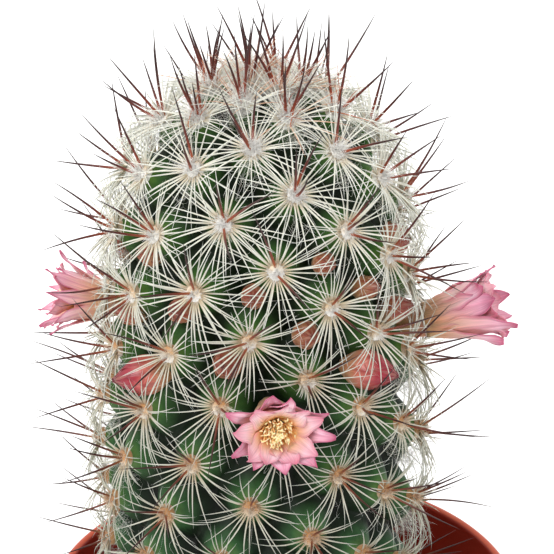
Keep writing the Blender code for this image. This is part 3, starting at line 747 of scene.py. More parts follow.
def fibre_tree() -> bpy.types.NodeTree:
    """Build the tree that grows one tapering, bending fibre from each point."""
    tree, given = start_tree("grow_fibres", {
        "Sides": "NodeSocketInt", "Segments": "NodeSocketInt", "Taper": "NodeSocketFloat",
        "Finish": "NodeSocketMaterial"})
    rod = add_node(tree, "GeometryNodeMeshCone", {
        "Vertices": given.outputs["Sides"], "Side Segments": given.outputs["Segments"],
        "Radius Top": 1.0, "Radius Bottom": 1.0, "Depth": 1.0}, fill_type="NGON")
    place = add_node(tree, "GeometryNodeInputPosition")
    split = add_node(tree, "ShaderNodeSeparateXYZ", {"Vector": place})
    marked = add_node(tree, "GeometryNodeStoreNamedAttribute", {
        "Geometry": rod, "Name": "along", "Value": split.outputs["Z"]}, data_type="FLOAT")
    power = add_node(tree, "ShaderNodeMath", {
        0: split.outputs["Z"], 1: given.outputs["Taper"]}, operation="POWER")
    share = add_node(tree, "ShaderNodeMath", {
        0: power, 1: -0.97, 2: 1.0}, operation="MULTIPLY_ADD")
    scale = add_node(tree, "ShaderNodeCombineXYZ", {"X": share, "Y": share, "Z": 1.0})
    drawn = add_node(tree, "ShaderNodeVectorMath", {0: place, 1: scale}, operation="MULTIPLY")
    needle = add_node(tree, "GeometryNodeSetPosition", {"Geometry": marked, "Position": drawn})
    heading = add_node(tree, "FunctionNodeAlignRotationToVector", {
        "Vector": add_node(tree, "GeometryNodeInputNamedAttribute", {"Name": "direction"},
                           data_type="FLOAT_VECTOR")}, axis="Z")
    radius = add_node(tree, "GeometryNodeInputNamedAttribute", {"Name": "radius"},
                      data_type="FLOAT")
    length = add_node(tree, "GeometryNodeInputNamedAttribute", {"Name": "length"},
                      data_type="FLOAT")
    size = add_node(tree, "ShaderNodeCombineXYZ", {"X": radius, "Y": radius, "Z": length})
    grown = add_node(tree, "GeometryNodeInstanceOnPoints", {
        "Points": given.outputs["Geometry"], "Instance": needle, "Rotation": heading,
        "Scale": size})
    real = add_node(tree, "GeometryNodeRealizeInstances", {"Geometry": grown})
    along = add_node(tree, "GeometryNodeInputNamedAttribute", {"Name": "along"},
                     data_type="FLOAT")
    square = add_node(tree, "ShaderNodeMath", {0: along, 1: 2.0}, operation="POWER")
    wave = add_node(tree, "ShaderNodeMath", {
        0: add_node(tree, "ShaderNodeMath", {0: along, 1: 2.0 * math.pi}, operation="MULTIPLY"),
    }, operation="SINE")
    lean = add_node(tree, "ShaderNodeVectorMath", {
        0: add_node(tree, "GeometryNodeInputNamedAttribute", {"Name": "sway"},
                    data_type="FLOAT_VECTOR"), "Scale": square}, operation="SCALE")
    curl = add_node(tree, "ShaderNodeVectorMath", {
        0: add_node(tree, "GeometryNodeInputNamedAttribute", {"Name": "curl"},
                    data_type="FLOAT_VECTOR"), "Scale": wave}, operation="SCALE")
    offset = add_node(tree, "ShaderNodeVectorMath", {0: lean, 1: curl}, operation="ADD")
    bent = add_node(tree, "GeometryNodeSetPosition", {"Geometry": real, "Offset": offset})
    end_tree(tree, bent, given.outputs["Finish"])
    return tree


# --- places on the stem -------------------------------------------------------------------


@dataclass(frozen=True)
class Areole:
    """One areole: where it sits, which way it faces and how grown it is."""

    number: int
    point: np.ndarray
    outward: np.ndarray
    uphill: np.ndarray
    side: np.ndarray
    arc: float
    size: float
    age: float

    def aim(self, lift: float, turn: float) -> np.ndarray:
        """Return a direction from its lift above the skin and its turn from uphill."""
        flat = self.uphill * math.cos(turn) + self.side * math.sin(turn)
        return flat * math.cos(lift) + self.outward * math.sin(lift)


@dataclass
class StemForm:
    """The stem's outline and the spiral of areoles on it.

    The outline is a rounded crown on a barrel, taken over the tubercle tips. Each areole turns
    a fixed angle from the last and holds a share of skin that grows away from the crown.
    """

    rim_height: float
    soil_top: float
    axis_x: float
    above_rim: float = 76.2 * MM
    shoulder_radius: float = 19.4 * MM
    crown_height: float = 27.1 * MM
    roundness: float = 2.4
    bulge: float = 1.9 * MM
    barrel_length: float = 50.0 * MM
    planting_depth: float = 7.0 * MM
    tubercle_height: float = 4.2 * MM
    cell_width: float = 10.1 * MM
    divergence: float = math.radians(137.67)
    spiral_start: float = math.radians(-79.1)
    first_count: float = 0.8
    crown_share: float = 0.03
    growth_length: float = 15.6 * MM
    foot_shrink: float = 0.0044 / MM
    shrink_from: float = 30.0 * MM
    next_down: int = 13
    next_side: int = 5

    def __post_init__(self) -> None:
        """Sample the outline from crown to foot."""
        top = self.rim_height + self.above_rim
        self.foot = self.soil_top - self.planting_depth
        turn = np.linspace(0.0, math.pi / 2, 401)
        power = 2.0 / self.roundness
        radius = self.shoulder_radius * np.sin(turn) ** power
        height = top - self.crown_height + self.crown_height * np.abs(np.cos(turn)) ** power
        drop = np.linspace(0.0, top - self.crown_height - self.foot, 401)[1:]
        share = drop / self.barrel_length
        self.radii = np.append(radius, self.shoulder_radius + 4 * self.bulge * share * (1 - share))
        self.heights = np.append(height, top - self.crown_height - drop)
        stride = np.hypot(np.diff(self.radii), np.diff(self.heights))
        middle = 0.5 * (self.radii[1:] + self.radii[:-1])
        self.arcs = np.append(0.0, np.cumsum(stride))
        skin = 2.0 * math.pi * middle * stride / self.cell_area(self.arcs[1:] - 0.5 * stride)
        self.counts = np.append(0.0, np.cumsum(skin))
        self.run = np.gradient(self.radii, self.arcs)
        self.fall = np.gradient(self.heights, self.arcs)

    def cell_area(self, arc: np.ndarray | float) -> np.ndarray:
        """Return the skin that one areole holds at this distance from the crown."""
        young = (1.0 - self.crown_share) * np.exp(-np.asarray(arc) / self.growth_length)
        old = self.foot_shrink * np.maximum(np.asarray(arc) - self.shrink_from, 0.0)
        return self.cell_width ** 2 * (1.0 - young) * (1.0 - old)

    def frame_at(self, arc: np.ndarray | float, angle: np.ndarray | float) -> tuple:
        """Return points on the outline with their outward, uphill and sideways directions.

        Args:
            arc: Distances from the crown along the outline.
            angle: Turns round the stem, 0 at the front.

        Returns:
            Four arrays of vectors.
        """
        arc, angle = np.broadcast_arrays(np.asarray(arc, float), np.asarray(angle, float))
        radius = np.interp(arc, self.arcs, self.radii)[..., None]
        height = np.interp(arc, self.arcs, self.heights)[..., None]
        run = np.interp(arc, self.arcs, self.run)[..., None]
        fall = np.interp(arc, self.arcs, self.fall)[..., None]
        length = np.hypot(run, fall)
        run, fall = run / length, fall / length
        flat = np.zeros_like(angle)
        radial = np.stack([np.sin(angle), -np.cos(angle), flat], -1)
        side = np.stack([np.cos(angle), np.sin(angle), flat], -1)
        point = radial * radius + UP * height + np.array([self.axis_x, 0.0, 0.0])
        return point, UP * run - radial * fall, -radial * run - UP * fall, side

    def areole(self, number: int) -> Areole:
        """Return one areole of the spiral."""
        arc = float(np.interp(number + self.first_count, self.counts, self.arcs))
        point, outward, uphill, side = self.frame_at(
            arc, self.spiral_start + self.divergence * number)
        size = math.sqrt(float(self.cell_area(arc))) / self.cell_width
        return Areole(number, point, outward, uphill, side, arc, size, arc / self.arcs[-1])

    def areoles(self, first: int, lowest: float) -> list[Areole]:
        """Return the areoles from a number down to a height."""
        found = []
        while True:
            spot = self.areole(first + len(found))
            if spot.point[2] <= lowest:
                return found
            found.append(spot)

    def axil(self, number: int, side_share: float, root_height: float) -> tuple:
        """Return the root and the level direction of what grows in an axil.

        Args:
            number: The areole above the axil.
            side_share: How far the axil leans to the neighbour on the left.
            root_height: How far the root stands out of the axil.

        Returns:
            The root point and the level direction away from the axis.
        """
        down = 0.5 * (1.0 - side_share)
        above = self.areole(number)
        point = down * (above.point + self.areole(number + self.next_down).point)
        point = point + side_share * self.areole(number + self.next_side).point
        radial = np.array([point[0] - self.axis_x, point[1], 0.0])
        radial /= np.linalg.norm(radial)
        count = number + self.first_count + 0.5 * self.next_down
        arc = float(np.interp(count, self.counts, self.arcs))
        run, fall = np.interp(arc, self.arcs, self.run), np.interp(arc, self.arcs, self.fall)
        outward = (UP * run - radial * fall) / math.hypot(run, fall)
        depth = root_height - 0.8 * self.tubercle_height * above.size
        return point + outward * depth, radial


@dataclass
class Blossom:
    """A bud or a flower on its axil: its root, where it points and the room it fills."""

    name: str
    areole: int
    root: np.ndarray
    direction: np.ndarray
    length: float
    root_radius: float
    end_radius: float
    spread: float = 1.3

    def stand(self, points: np.ndarray) -> np.ndarray:
        """Return Z-up points stood on the axil."""
        turn = Vector((0.0, 0.0, 1.0)).rotation_difference(Vector(self.direction))
        return points @ np.array(turn.to_matrix()).T + self.root

    def covers(self, points: np.ndarray, clearance: float) -> np.ndarray:
        """Return whether points lie in the blossom's room or closer to it than a clearance."""
        offset = points - self.root
        along = offset @ self.direction
        across = np.linalg.norm(offset - along[..., None] * self.direction, axis=-1)
        share = np.clip(along / self.length, 0.0, 1.0)
        radius = self.root_radius + (self.end_radius - self.root_radius) * share ** self.spread
        near = (along > -clearance) & (along < self.length + clearance)
        return near & (across < radius + clearance)


# --- pot and soil -------------------------------------------------------------------------


@dataclass
class NurseryPot:
    """The tapered pot with its stepped collar, foot ring and drainage holes."""

    rim_radius: float
    height: float
    base_radius: float = 23.0 * MM
    wall: float = 1.3 * MM
    floor: float = 1.6 * MM
    collar_height: float = 9.0 * MM
    collar_step: float = 1.2 * MM
    holes: int = 6
    hole_radius: float = 2.6 * MM
    hole_circle: float = 14.0 * MM
    foot_rise: float = 0.4 * MM
    sides: int = 168

    def inner_radius(self, height: np.ndarray | float) -> np.ndarray | float:
        """Return the inner radius of the tapered body at a height."""
        top = self.rim_radius - self.collar_step
        return self.base_radius + (top - self.base_radius) * height / self.height - self.wall

    def outline(self) -> list[tuple[float, float]]:
        """Return the pot's closed profile, from the middle of its base round to its floor."""
        step = self.height - self.collar_height
        body = self.inner_radius(step) + self.wall
        collar = body + self.collar_step
        lip = 0.5 * self.wall
        foot_in = self.base_radius - 2.6 * self.wall
        points = [(0.0, self.foot_rise), (self.hole_circle, self.foot_rise)]
        points += [(foot_in - self.foot_rise, self.foot_rise), (foot_in, 0.0)]
        points += arc((self.base_radius - self.wall, self.wall), self.wall, -90.0, -8.0, 6)
        points += [(body, step - self.collar_step)]
        points += arc((collar - 0.5 * MM, step + 0.1 * MM), 0.5 * MM, -80.0, 0.0, 5)
        points += arc((self.rim_radius - lip, self.height - lip), lip, 0.0, 180.0, 11)
        points += [(collar - self.wall, step + self.wall)]
        points += [(self.inner_radius(step), step - self.collar_step)]
        points += arc((self.inner_radius(self.floor) - self.wall, self.floor + self.wall),
                      self.wall, -8.0, -90.0, 6)
        points += [(self.hole_circle, self.floor), (0.0, self.floor)]
        return points

    def build(self) -> bpy.types.Object:
        """Turn the pot and drill its drainage holes."""
        corners = np.array(self.outline())
        rows = [corners[:1]]
        for first, second in zip(corners, corners[1:]):
            steps = max(1, int(np.linalg.norm(second - first) / (1.5 * MM)))
            rows.append(first + (second - first) * (np.arange(1, steps + 1) / steps)[:, None])
        outline = np.concatenate(rows)
        rim = int(np.argmax(outline[:, 1]))
        # inside marks the inner wall, which the finish paints darker as shade.
        inside = (np.arange(len(outline)) > rim) & (outline[:, 1] < self.height - 0.2 * self.wall)
        sheets = Sheets()
        sheets.add(turned(outline, self.sides), True, inside=inside[:, None])
        pot = sheets.build("nursery_pot", Finish.POT)
        drills = Sheets()
        drill = np.array([(0.0, -1.0), (1.0, -1.0), (1.0, 1.0), (0.0, 1.0)])
        for index in range(self.holes):
            turn = 2.0 * math.pi * index / self.holes
            centre = np.array([math.cos(turn), math.sin(turn), 0.0]) * self.hole_circle
            drills.add(turned(drill * [self.hole_radius, 4 * self.floor], 32, centre), True)
        drill_set = drills.build("drill_set", Finish.POT)
        cut = pot.modifiers.new("drain_holes", "BOOLEAN")
        cut.object = drill_set
        cut.solver = "EXACT"
        settle(pot, ("inside",))
        bpy.data.objects.remove(drill_set)
        pot.data.set_sharp_from_angle(angle=math.radians(50.0))
        return pot


@dataclass
class SoilBed:
    """Peat pressed into the pot round the stem's foot, with grit and perlite on top."""

    pot: NurseryPot
    stem: StemForm
    gap: float = 0.3 * MM
    relief: float = 0.9 * MM
    crumbs_per_square_metre: float = 9.0e5
    crumb_radius: float = 0.55 * MM
    sides: int = 120

    def build(self) -> bpy.types.Object:
        """Build the bed: a closed body with a socket for the stem and a rough top."""
        form = self.stem
        socket = float(np.interp(-form.soil_top, -form.heights, form.radii)) - 1.5 * MM
        wall = float(self.pot.inner_radius(form.soil_top)) - self.gap
        low = self.pot.floor + self.gap
        base = float(self.pot.inner_radius(low)) - self.gap - self.pot.wall
        foot = form.foot - self.gap
        across = np.linspace(0.0, 1.0, 26)
        rows = [(0.0, 0.0, foot, 0.0), (0.0, socket, foot, 0.0)]
        rows += [(s, socket + (wall - socket) * s, form.soil_top, 1.0) for s in across]
        rows += [(1.0, base + (wall - base) * s, low + (form.soil_top - low) * s, 0.0)
                 for s in np.linspace(0.9, 0.0, 12)]
        rows += [(1.0, 0.0, low, 0.0)]
        turn = np.arange(self.sides) * 2.0 * math.pi / self.sides
        grid = np.zeros((len(rows), self.sides, 3))
        for row, (share, radius, height, rough) in enumerate(rows):
            centre = form.axis_x * (1.0 - share)
            grid[row, :, 0] = centre + radius * np.cos(turn)
            grid[row, :, 1] = radius * np.sin(turn)
            grid[row, :, 2] = height + rough * self.bumps(grid[row])
        sheets = Sheets()
        sheets.add(grid, True)
        return sheets.build("soil_bed", Finish.SOIL)

    def bumps(self, points: np.ndarray) -> np.ndarray:
        """Return the soil's rise and fall at some points."""
        x, y = points[:, 0] / MM, points[:, 1] / MM
        swell = np.sin(0.31 * x + 1.3 * np.sin(0.23 * y)) + np.sin(0.37 * y + 1.1 * np.sin(0.29 * x))
        lumps = np.sin(1.7 * x + 2.0 * np.sin(1.1 * y)) * np.sin(1.9 * y + 1.7 * np.sin(1.3 * x))
        return self.relief * (0.3 * swell + 0.35 * lumps)

    def build_crumbs(self, bed: bpy.types.Object) -> bpy.types.Object:
        """Scatter grit and perlite over the top of the bed."""
        tree, given = start_tree("scatter_crumbs", {
            "Density": "NodeSocketFloat", "Crumb Radius": "NodeSocketFloat",
            "Lowest": "NodeSocketFloat", "Seed": "NodeSocketInt",
            "Finish": "NodeSocketMaterial"})
        normal = add_node(tree, "ShaderNodeSeparateXYZ", {
            "Vector": add_node(tree, "GeometryNodeInputNormal")})
        place = add_node(tree, "ShaderNodeSeparateXYZ", {
            "Vector": add_node(tree, "GeometryNodeInputPosition")})
        level = add_node(tree, "FunctionNodeCompare", {
            "A": normal.outputs["Z"], "B": 0.5}, operation="GREATER_THAN")
        high = add_node(tree, "FunctionNodeCompare", {
            "A": place.outputs["Z"], "B": given.outputs["Lowest"]}, operation="GREATER_THAN")
        top = add_node(tree, "FunctionNodeBooleanMath", {0: level, 1: high}, operation="AND")
        spots = add_node(tree, "GeometryNodeDistributePointsOnFaces", {
            "Mesh": given.outputs["Geometry"], "Selection": top,
            "Density": given.outputs["Density"], "Seed": given.outputs["Seed"]})
        crumb = add_node(tree, "GeometryNodeMeshIcoSphere", {"Radius": 1.0, "Subdivisions": 2})
        spin = add_node(tree, "FunctionNodeRandomValue", {
            "Max": (6.28, 6.28, 6.28), "Seed": given.outputs["Seed"]}, data_type="FLOAT_VECTOR")
        girth = add_node(tree, "FunctionNodeRandomValue", {
            "Min": (0.5, 0.5, 0.35), "Max": (1.5, 1.3, 0.9), "Seed": given.outputs["Seed"]},
            data_type="FLOAT_VECTOR")
        size = add_node(tree, "ShaderNodeVectorMath", {
            0: girth, "Scale": given.outputs["Crumb Radius"]}, operation="SCALE")
        placed = add_node(tree, "GeometryNodeInstanceOnPoints", {
            "Points": spots.outputs["Points"], "Instance": crumb, "Rotation": spin,
            "Scale": size})
        tone = add_node(tree, "FunctionNodeRandomValue", {"Seed": given.outputs["Seed"]},
                        data_type="FLOAT")
        toned = add_node(tree, "GeometryNodeStoreNamedAttribute", {
            "Geometry": placed, "Name": "tone", "Value": tone}, data_type="FLOAT",
            domain="INSTANCE")
        real = add_node(tree, "GeometryNodeRealizeInstances", {"Geometry": toned})
        rough = add_node(tree, "ShaderNodeTexNoise", {"Scale": 1.0 / (0.9 * MM), "Detail": 1.0})
        centred = add_node(tree, "ShaderNodeVectorMath", {
            0: rough.outputs["Color"], 1: (0.5, 0.5, 0.5)}, operation="SUBTRACT")
        pushed = add_node(tree, "ShaderNodeVectorMath", {
            0: centred, "Scale": given.outputs["Crumb Radius"]}, operation="SCALE")
        broken = add_node(tree, "GeometryNodeSetPosition", {"Geometry": real, "Offset": pushed})
        end_tree(tree, broken, given.outputs["Finish"])
        item = link("soil_crumbs", bed.data.copy())
        return run_tree(item, tree, {
            "Density": self.crumbs_per_square_metre, "Crumb Radius": self.crumb_radius,
            "Lowest": self.stem.soil_top - 2.0 * self.relief, "Seed": 11,
            "Finish": Finish.GRAIN.material()}, ("tone",))


# --- stem and spines ----------------------------------------------------------------------


@dataclass
class StemBody:
    """The green body: a turned shell whose skin sinks between the tubercle tips."""

    form: StemForm
    rows: int = 280
    columns: int = 300
    reach: float = 0.62
    rounding: float = 0.32

    def build(self) -> bpy.types.Object:
        """Build the shell with its tips, and sink the grooves between them."""
        form = self.form
        arcs = np.linspace(0.0, 1.0, self.rows) ** 1.15 * form.arcs[-1]
        turn = np.arange(self.columns) * 2.0 * math.pi / self.columns
        grid = form.frame_at(arcs[:, None], turn[None])[0]
        size = np.sqrt(form.cell_area(arcs))[:, None]
        sheets = Sheets()
        sheets.add(grid, True, is_tip=0.0, cell=size, age=(arcs / arcs[-1])[:, None],
                   height=form.tubercle_height * size / form.cell_width)
        cap = np.stack([grid[-1], grid[-1] * [0.0, 0.0, 1.0] + [form.axis_x, 0.0, 0.0]])
        sheets.add(cap, True, is_tip=0.0, cell=1.0, age=1.0, height=0.0)
        tips = np.array([spot.point for spot in form.areoles(0, form.foot)])
        sheets.add(tips[None], is_tip=1.0, cell=1.0, age=0.0, height=0.0)
        body = sheets.build("tubercled_stem", Finish.SKIN)
        return run_tree(body, self.tree(), {
            "Reach": self.reach, "Rounding": self.rounding,
            "Finish": Finish.SKIN.material()}, ("depth", "age"))

    def tree(self) -> bpy.types.NodeTree:
        """Build the tree that sinks the skin by its distance to the nearest tubercle tip."""
        tree, given = start_tree("raise_tubercles", {
            "Reach": "NodeSocketFloat", "Rounding": "NodeSocketFloat",
            "Finish": "NodeSocketMaterial"})
        mark = add_node(tree, "GeometryNodeInputNamedAttribute", {"Name": "is_tip"},
                        data_type="FLOAT")
        chosen = add_node(tree, "FunctionNodeCompare", {"A": mark, "B": 0.5},
                          operation="GREATER_THAN")
        parts = add_node(tree, "GeometryNodeSeparateGeometry", {
            "Geometry": given.outputs["Geometry"], "Selection": chosen}, domain="POINT")
        nearest = add_node(tree, "GeometryNodeProximity", {
            "Geometry": parts.outputs["Selection"]}, target_element="POINTS")
        cell = add_node(tree, "ShaderNodeMath", {
            0: add_node(tree, "GeometryNodeInputNamedAttribute", {"Name": "cell"},
                        data_type="FLOAT"), 1: given.outputs["Reach"]}, operation="MULTIPLY")
        share = add_node(tree, "ShaderNodeMath", {
            0: nearest.outputs["Distance"], 1: cell}, operation="DIVIDE", use_clamp=True)
        rounded = add_node(tree, "ShaderNodeMath", {
            0: given.outputs["Rounding"], 1: given.outputs["Rounding"]}, operation="MULTIPLY")
        slope = add_node(tree, "ShaderNodeMath", {
            0: add_node(tree, "ShaderNodeMath", {0: share, 1: share, 2: rounded},
                        operation="MULTIPLY_ADD"), 1: 0.5}, operation="POWER")
        depth = add_node(tree, "ShaderNodeMath", {0: slope, 1: given.outputs["Rounding"]},
                         operation="SUBTRACT")
        most = add_node(tree, "ShaderNodeMath", {
            0: add_node(tree, "ShaderNodeMath", {
                0: add_node(tree, "ShaderNodeMath", {0: rounded, 1: 1.0}, operation="ADD"),
                1: 0.5}, operation="POWER"),
            1: given.outputs["Rounding"]}, operation="SUBTRACT")
        level = add_node(tree, "ShaderNodeMath", {0: depth, 1: most}, operation="DIVIDE")
        # depth also sets the skin's painted shade in the grooves.
        marked = add_node(tree, "GeometryNodeStoreNamedAttribute", {
            "Geometry": parts.outputs["Inverted"], "Name": "depth", "Value": level},
            data_type="FLOAT")
        drop = add_node(tree, "ShaderNodeMath", {
            0: add_node(tree, "GeometryNodeInputNamedAttribute", {"Name": "height"},
                        data_type="FLOAT"),
            1: add_node(tree, "GeometryNodeInputNamedAttribute", {"Name": "depth"},
                        data_type="FLOAT")}, operation="MULTIPLY")
        sink = add_node(tree, "ShaderNodeVectorMath", {
            0: add_node(tree, "GeometryNodeInputNormal"),
            "Scale": add_node(tree, "ShaderNodeMath", {0: drop, 1: -1.0}, operation="MULTIPLY"),
        }, operation="SCALE")
        sunk = add_node(tree, "GeometryNodeSetPosition", {"Geometry": marked, "Offset": sink})
        end_tree(tree, sunk, given.outputs["Finish"])
        return tree


@dataclass
class SpineCover:
    """All spines and wool: white radials spread on the skin, brown centrals that stand out."""

    form: StemForm
    pot: NurseryPot
    blossoms: list[Blossom]
    first_pad: int = 14
    row_step: int = 8
    radial_length: float = 8.2 * MM
    radial_radius: float = 0.125 * MM
    radials: int = 23
    young_radials: int = 38
    central_length: float = 10.6 * MM
    central_radius: float = 0.195 * MM
    clearance: float = 0.15 * MM
    spread_arc: float = 9.0 * MM
    grown_arc: float = 19.0 * MM
    woolly_arc: float = 36.0 * MM
    fleecy_share: float = 0.75
    thread_length: float = 4.8 * MM
    thread_radius: float = 0.02 * MM
    shortest_thread: float = 1.5 * MM
    axil_threads: int = 2
    flank_threads: int = 44
    flank_power: int = 8
    young_threads: int = 52
    hairs: int = 170
    young_hairs: int = 150
    hair_radius: float = 0.04 * MM
    curls: int = 5
    curl_radius: float = 0.075 * MM
    curly_areoles: int = 10
    new_areoles: int = 7
    new_share: float = 0.3
    lift_tries: int = 7
    lift_step: float = math.radians(7.0)
    shortest_radial: float = 2.0 * MM
    shortest_central: float = 5.0 * MM
    central_rises: tuple[float, ...] = (40.0, -8.0, 16.0, 4.0)
    central_swings: tuple[float, ...] = (8.0, -6.0, -22.0, 20.0)

    def __post_init__(self) -> None:
        """List the areoles and start the random draws."""
        lowest = self.form.soil_top + 0.5 * self.form.tubercle_height
        self.spots = self.form.areoles(0, lowest)
        self.random = np.random.default_rng(53)

    def grown(self, spot: Areole, span: float | None = None) -> float:
        """Return how far an areole has grown from 0 to 1, which it reaches at a span."""
        share = min(max(spot.arc / (span or self.grown_arc), 0.0), 1.0)
        return share * share * (3.0 - 2.0 * share)

    def blocked(self, points: np.ndarray) -> np.ndarray:
        """Return whether points lie in a blossom, the soil or the pot's wall."""
        hit = points[..., 2] < self.form.soil_top + self.clearance
        low = points[..., 2] < self.pot.height + self.clearance
        wide = np.hypot(points[..., 0], points[..., 1])
        hit |= low & (wide > self.pot.inner_radius(points[..., 2]) - self.clearance)
        for blossom in self.blossoms:
            hit |= blossom.covers(points, self.clearance)
        return hit

    def free(self, start: np.ndarray, direction: np.ndarray, sway: np.ndarray,
             length: float) -> float:
        """Return how much of a spine stays clear of its neighbours."""
        share = np.linspace(0.08, 1.0, 24)[:, None]
        hit = self.blocked(start + direction * length * share + sway * share ** 2)
        return float(share[max(int(np.argmax(hit)) - 1, 0), 0]) if hit.any() else 1.0

    def grow_radials(self, spot: Areole, fibres: Fibres, fresh: Fibres) -> None:
        """Spread one areole's white spines, lifting those that would cross a bud."""
        grown, spread = self.grown(spot), self.grown(spot, self.spread_arc)
        old = min(max((spot.age - 0.3) / 0.35, 0.0), 1.0)
        count = int(round(self.young_radials + (self.radials - self.young_radials) * old))
        turn_start = self.random.uniform(0.0, 2.0 * math.pi)
        for index in range(count):
            draws = self.random.normal(size=6)
            turn = turn_start + 2.0 * math.pi * (index + 0.25 * draws[0]) / count
            lift = math.radians(62.0 - 38.0 * spread + 7.0 * old + 7.0 * draws[1])
            reach = self.radial_length * (0.8 + 0.2 * spread - 0.08 * old) * (1.0 + 0.1 * draws[2])
            reach *= 0.95 + 0.05 * abs(math.sin(turn)) - 0.07 * math.cos(turn)
            reach *= 1.0 - 0.3 * old * max(math.cos(turn), 0.0)
            start = spot.point + spot.aim(0.0, turn) * (0.4 + 0.5 * spot.size) * MM
            start = start + spot.outward * 0.3 * MM
            across = np.cross(spot.outward, spot.aim(0.0, turn))
            sag = spot.outward * (0.2 + 0.15 * old + 0.05 * draws[4])
            sway = (across * (0.05 + 0.05 * old) * draws[3] - sag) * reach
            for _ in range(self.lift_tries):
                direction = spot.aim(lift, turn)
                share = self.free(start, direction, sway, reach)
                if share == 1.0:
                    break
                lift += self.lift_step
            if share * reach < self.shortest_radial:
                continue
            new = spot.number < self.new_areoles and self.random.random() < self.new_share
            (fresh if new else fibres).add(
                start, direction, reach * share,
                self.radial_radius * (0.7 + 0.3 * grown - 0.2 * old) * (1.0 + 0.12 * draws[5]),
                spot.age, sway * share)

    def grow_centrals(self, spot: Areole, fibres: Fibres) -> None:
        """Stand one areole's long brown spines."""
        grown = self.grown(spot)
        low = max(spot.age - 0.45, 0.0)
        count = 4 if spot.number < self.first_pad else 3
        count -= int(self.random.random() < 0.35 + 1.5 * low) + int(self.random.random() < 2.0 * low)
        for index in range(count):
            draws = self.random.normal(size=6)
            rise = self.central_rises[index] - 12.0 * low
            swing = self.central_swings[index] * (1.0 if spot.number % 2 else -1.0)
            up = math.radians(rise * (0.4 + 0.6 * grown - low) + 8.0 * draws[0])
            aside = math.radians(swing + 9.0 * draws[1])
            reach = self.central_length * (0.92 + 0.08 * grown - 0.3 * low) * (
                1.0 + 0.1 * draws[2])
            direction = spot.outward * math.cos(up) * math.cos(aside)
            direction = direction + spot.uphill * math.sin(up) + spot.side * math.sin(aside)
            direction /= np.linalg.norm(direction)
            start = spot.point + spot.outward * 0.4 * MM
            start = start + (spot.uphill * (0.35, -0.3, 0.0, 0.0)[index]) * MM
            sway = (spot.side * 0.05 * draws[3] + spot.uphill * (0.05 + 0.07 * draws[4])) * reach
            share = self.free(start, direction, sway, reach)
            if share * reach > self.shortest_central:
                fibres.add(start, direction, reach * share, self.central_radius * (
                    1.0 - 0.4 * spot.age), spot.age + 0.15, sway * share)

    def grow_curls(self, spot: Areole, fibres: Fibres) -> None:
        """Grow the curly orange fibres that stand among the youngest spines."""
        for _ in range(self.curls):
            draws = self.random.normal(size=8)
            direction = spot.outward + 0.35 * (spot.side * draws[0] + spot.uphill * draws[1])
            direction /= np.linalg.norm(direction)
            reach = self.thread_length * (0.9 + 0.2 * draws[2])
            sway = 0.4 * reach * (spot.side * draws[3] + spot.uphill * draws[4])
            curl = 0.16 * reach * (spot.side * draws[5] + spot.uphill * draws[6])
            fibres.add(spot.point, direction, reach, self.curl_radius, 0.0, sway, curl)

    def grow_hairs(self, spot: Areole, fibres: Fibres) -> None:
        """Cover one areole's cushion with fine hairs, tan above and white below."""
        young = 1.0 - self.grown(spot, self.woolly_arc)
        for _ in range(self.hairs + int(self.young_hairs * young)):
            turn = self.random.uniform(0.0, 2.0 * math.pi)
            lift = math.radians(self.random.uniform(8.0, 88.0))
            direction = spot.aim(lift, turn)
            start = spot.point + direction * 0.8 * MM
            reach = self.random.uniform(0.5, 1.2) * (0.9 + 1.3 * young) * MM
            sway = self.random.normal(size=3) * 0.35 * reach
            curl = self.random.normal(size=3) * 0.15 * reach
            tone = spot.age - 0.12 + 0.22 * math.cos(turn) * math.cos(lift)
            fibres.add(start, direction, reach, self.hair_radius, tone, sway, curl)

    def grow_axil_wool(self, spot: Areole, fibres: Fibres) -> None:
        """Grow the curly wool of the axil below an areole, thickest near the crown and aside."""
        down = spot.uphill * -0.42 * self.form.cell_width * spot.size
        root = spot.point + down - spot.outward * 0.5 * self.form.tubercle_height * spot.size
        young = 1.0 - self.grown(spot, self.fleecy_share * self.woolly_arc)
        flank = abs(spot.side[1])
        count = self.axil_threads + int(
            self.flank_threads * flank ** self.flank_power + self.young_threads * young ** 1.5)
        for _ in range(count):
            draws = self.random.normal(size=9)
            direction = spot.outward + 0.45 * (spot.side * draws[0] + spot.uphill * draws[1])
            direction = direction / np.linalg.norm(direction)
            reach = self.thread_length * (0.75 + 0.15 * young) * (1.0 + 0.25 * draws[2])
            sway = 0.2 * reach * (spot.side * draws[3] + spot.uphill * (draws[4] - 0.5))
            start = root + 0.6 * MM * (spot.side * draws[5] + spot.uphill * draws[6])
            curl = 0.22 * reach * (spot.side * draws[7] + spot.uphill * draws[8])
            share = self.free(start, direction, sway, reach)
            if share * reach > self.shortest_thread:
                fibres.add(start, direction, reach * share, self.thread_radius, spot.age,
                           sway * share, curl * share)

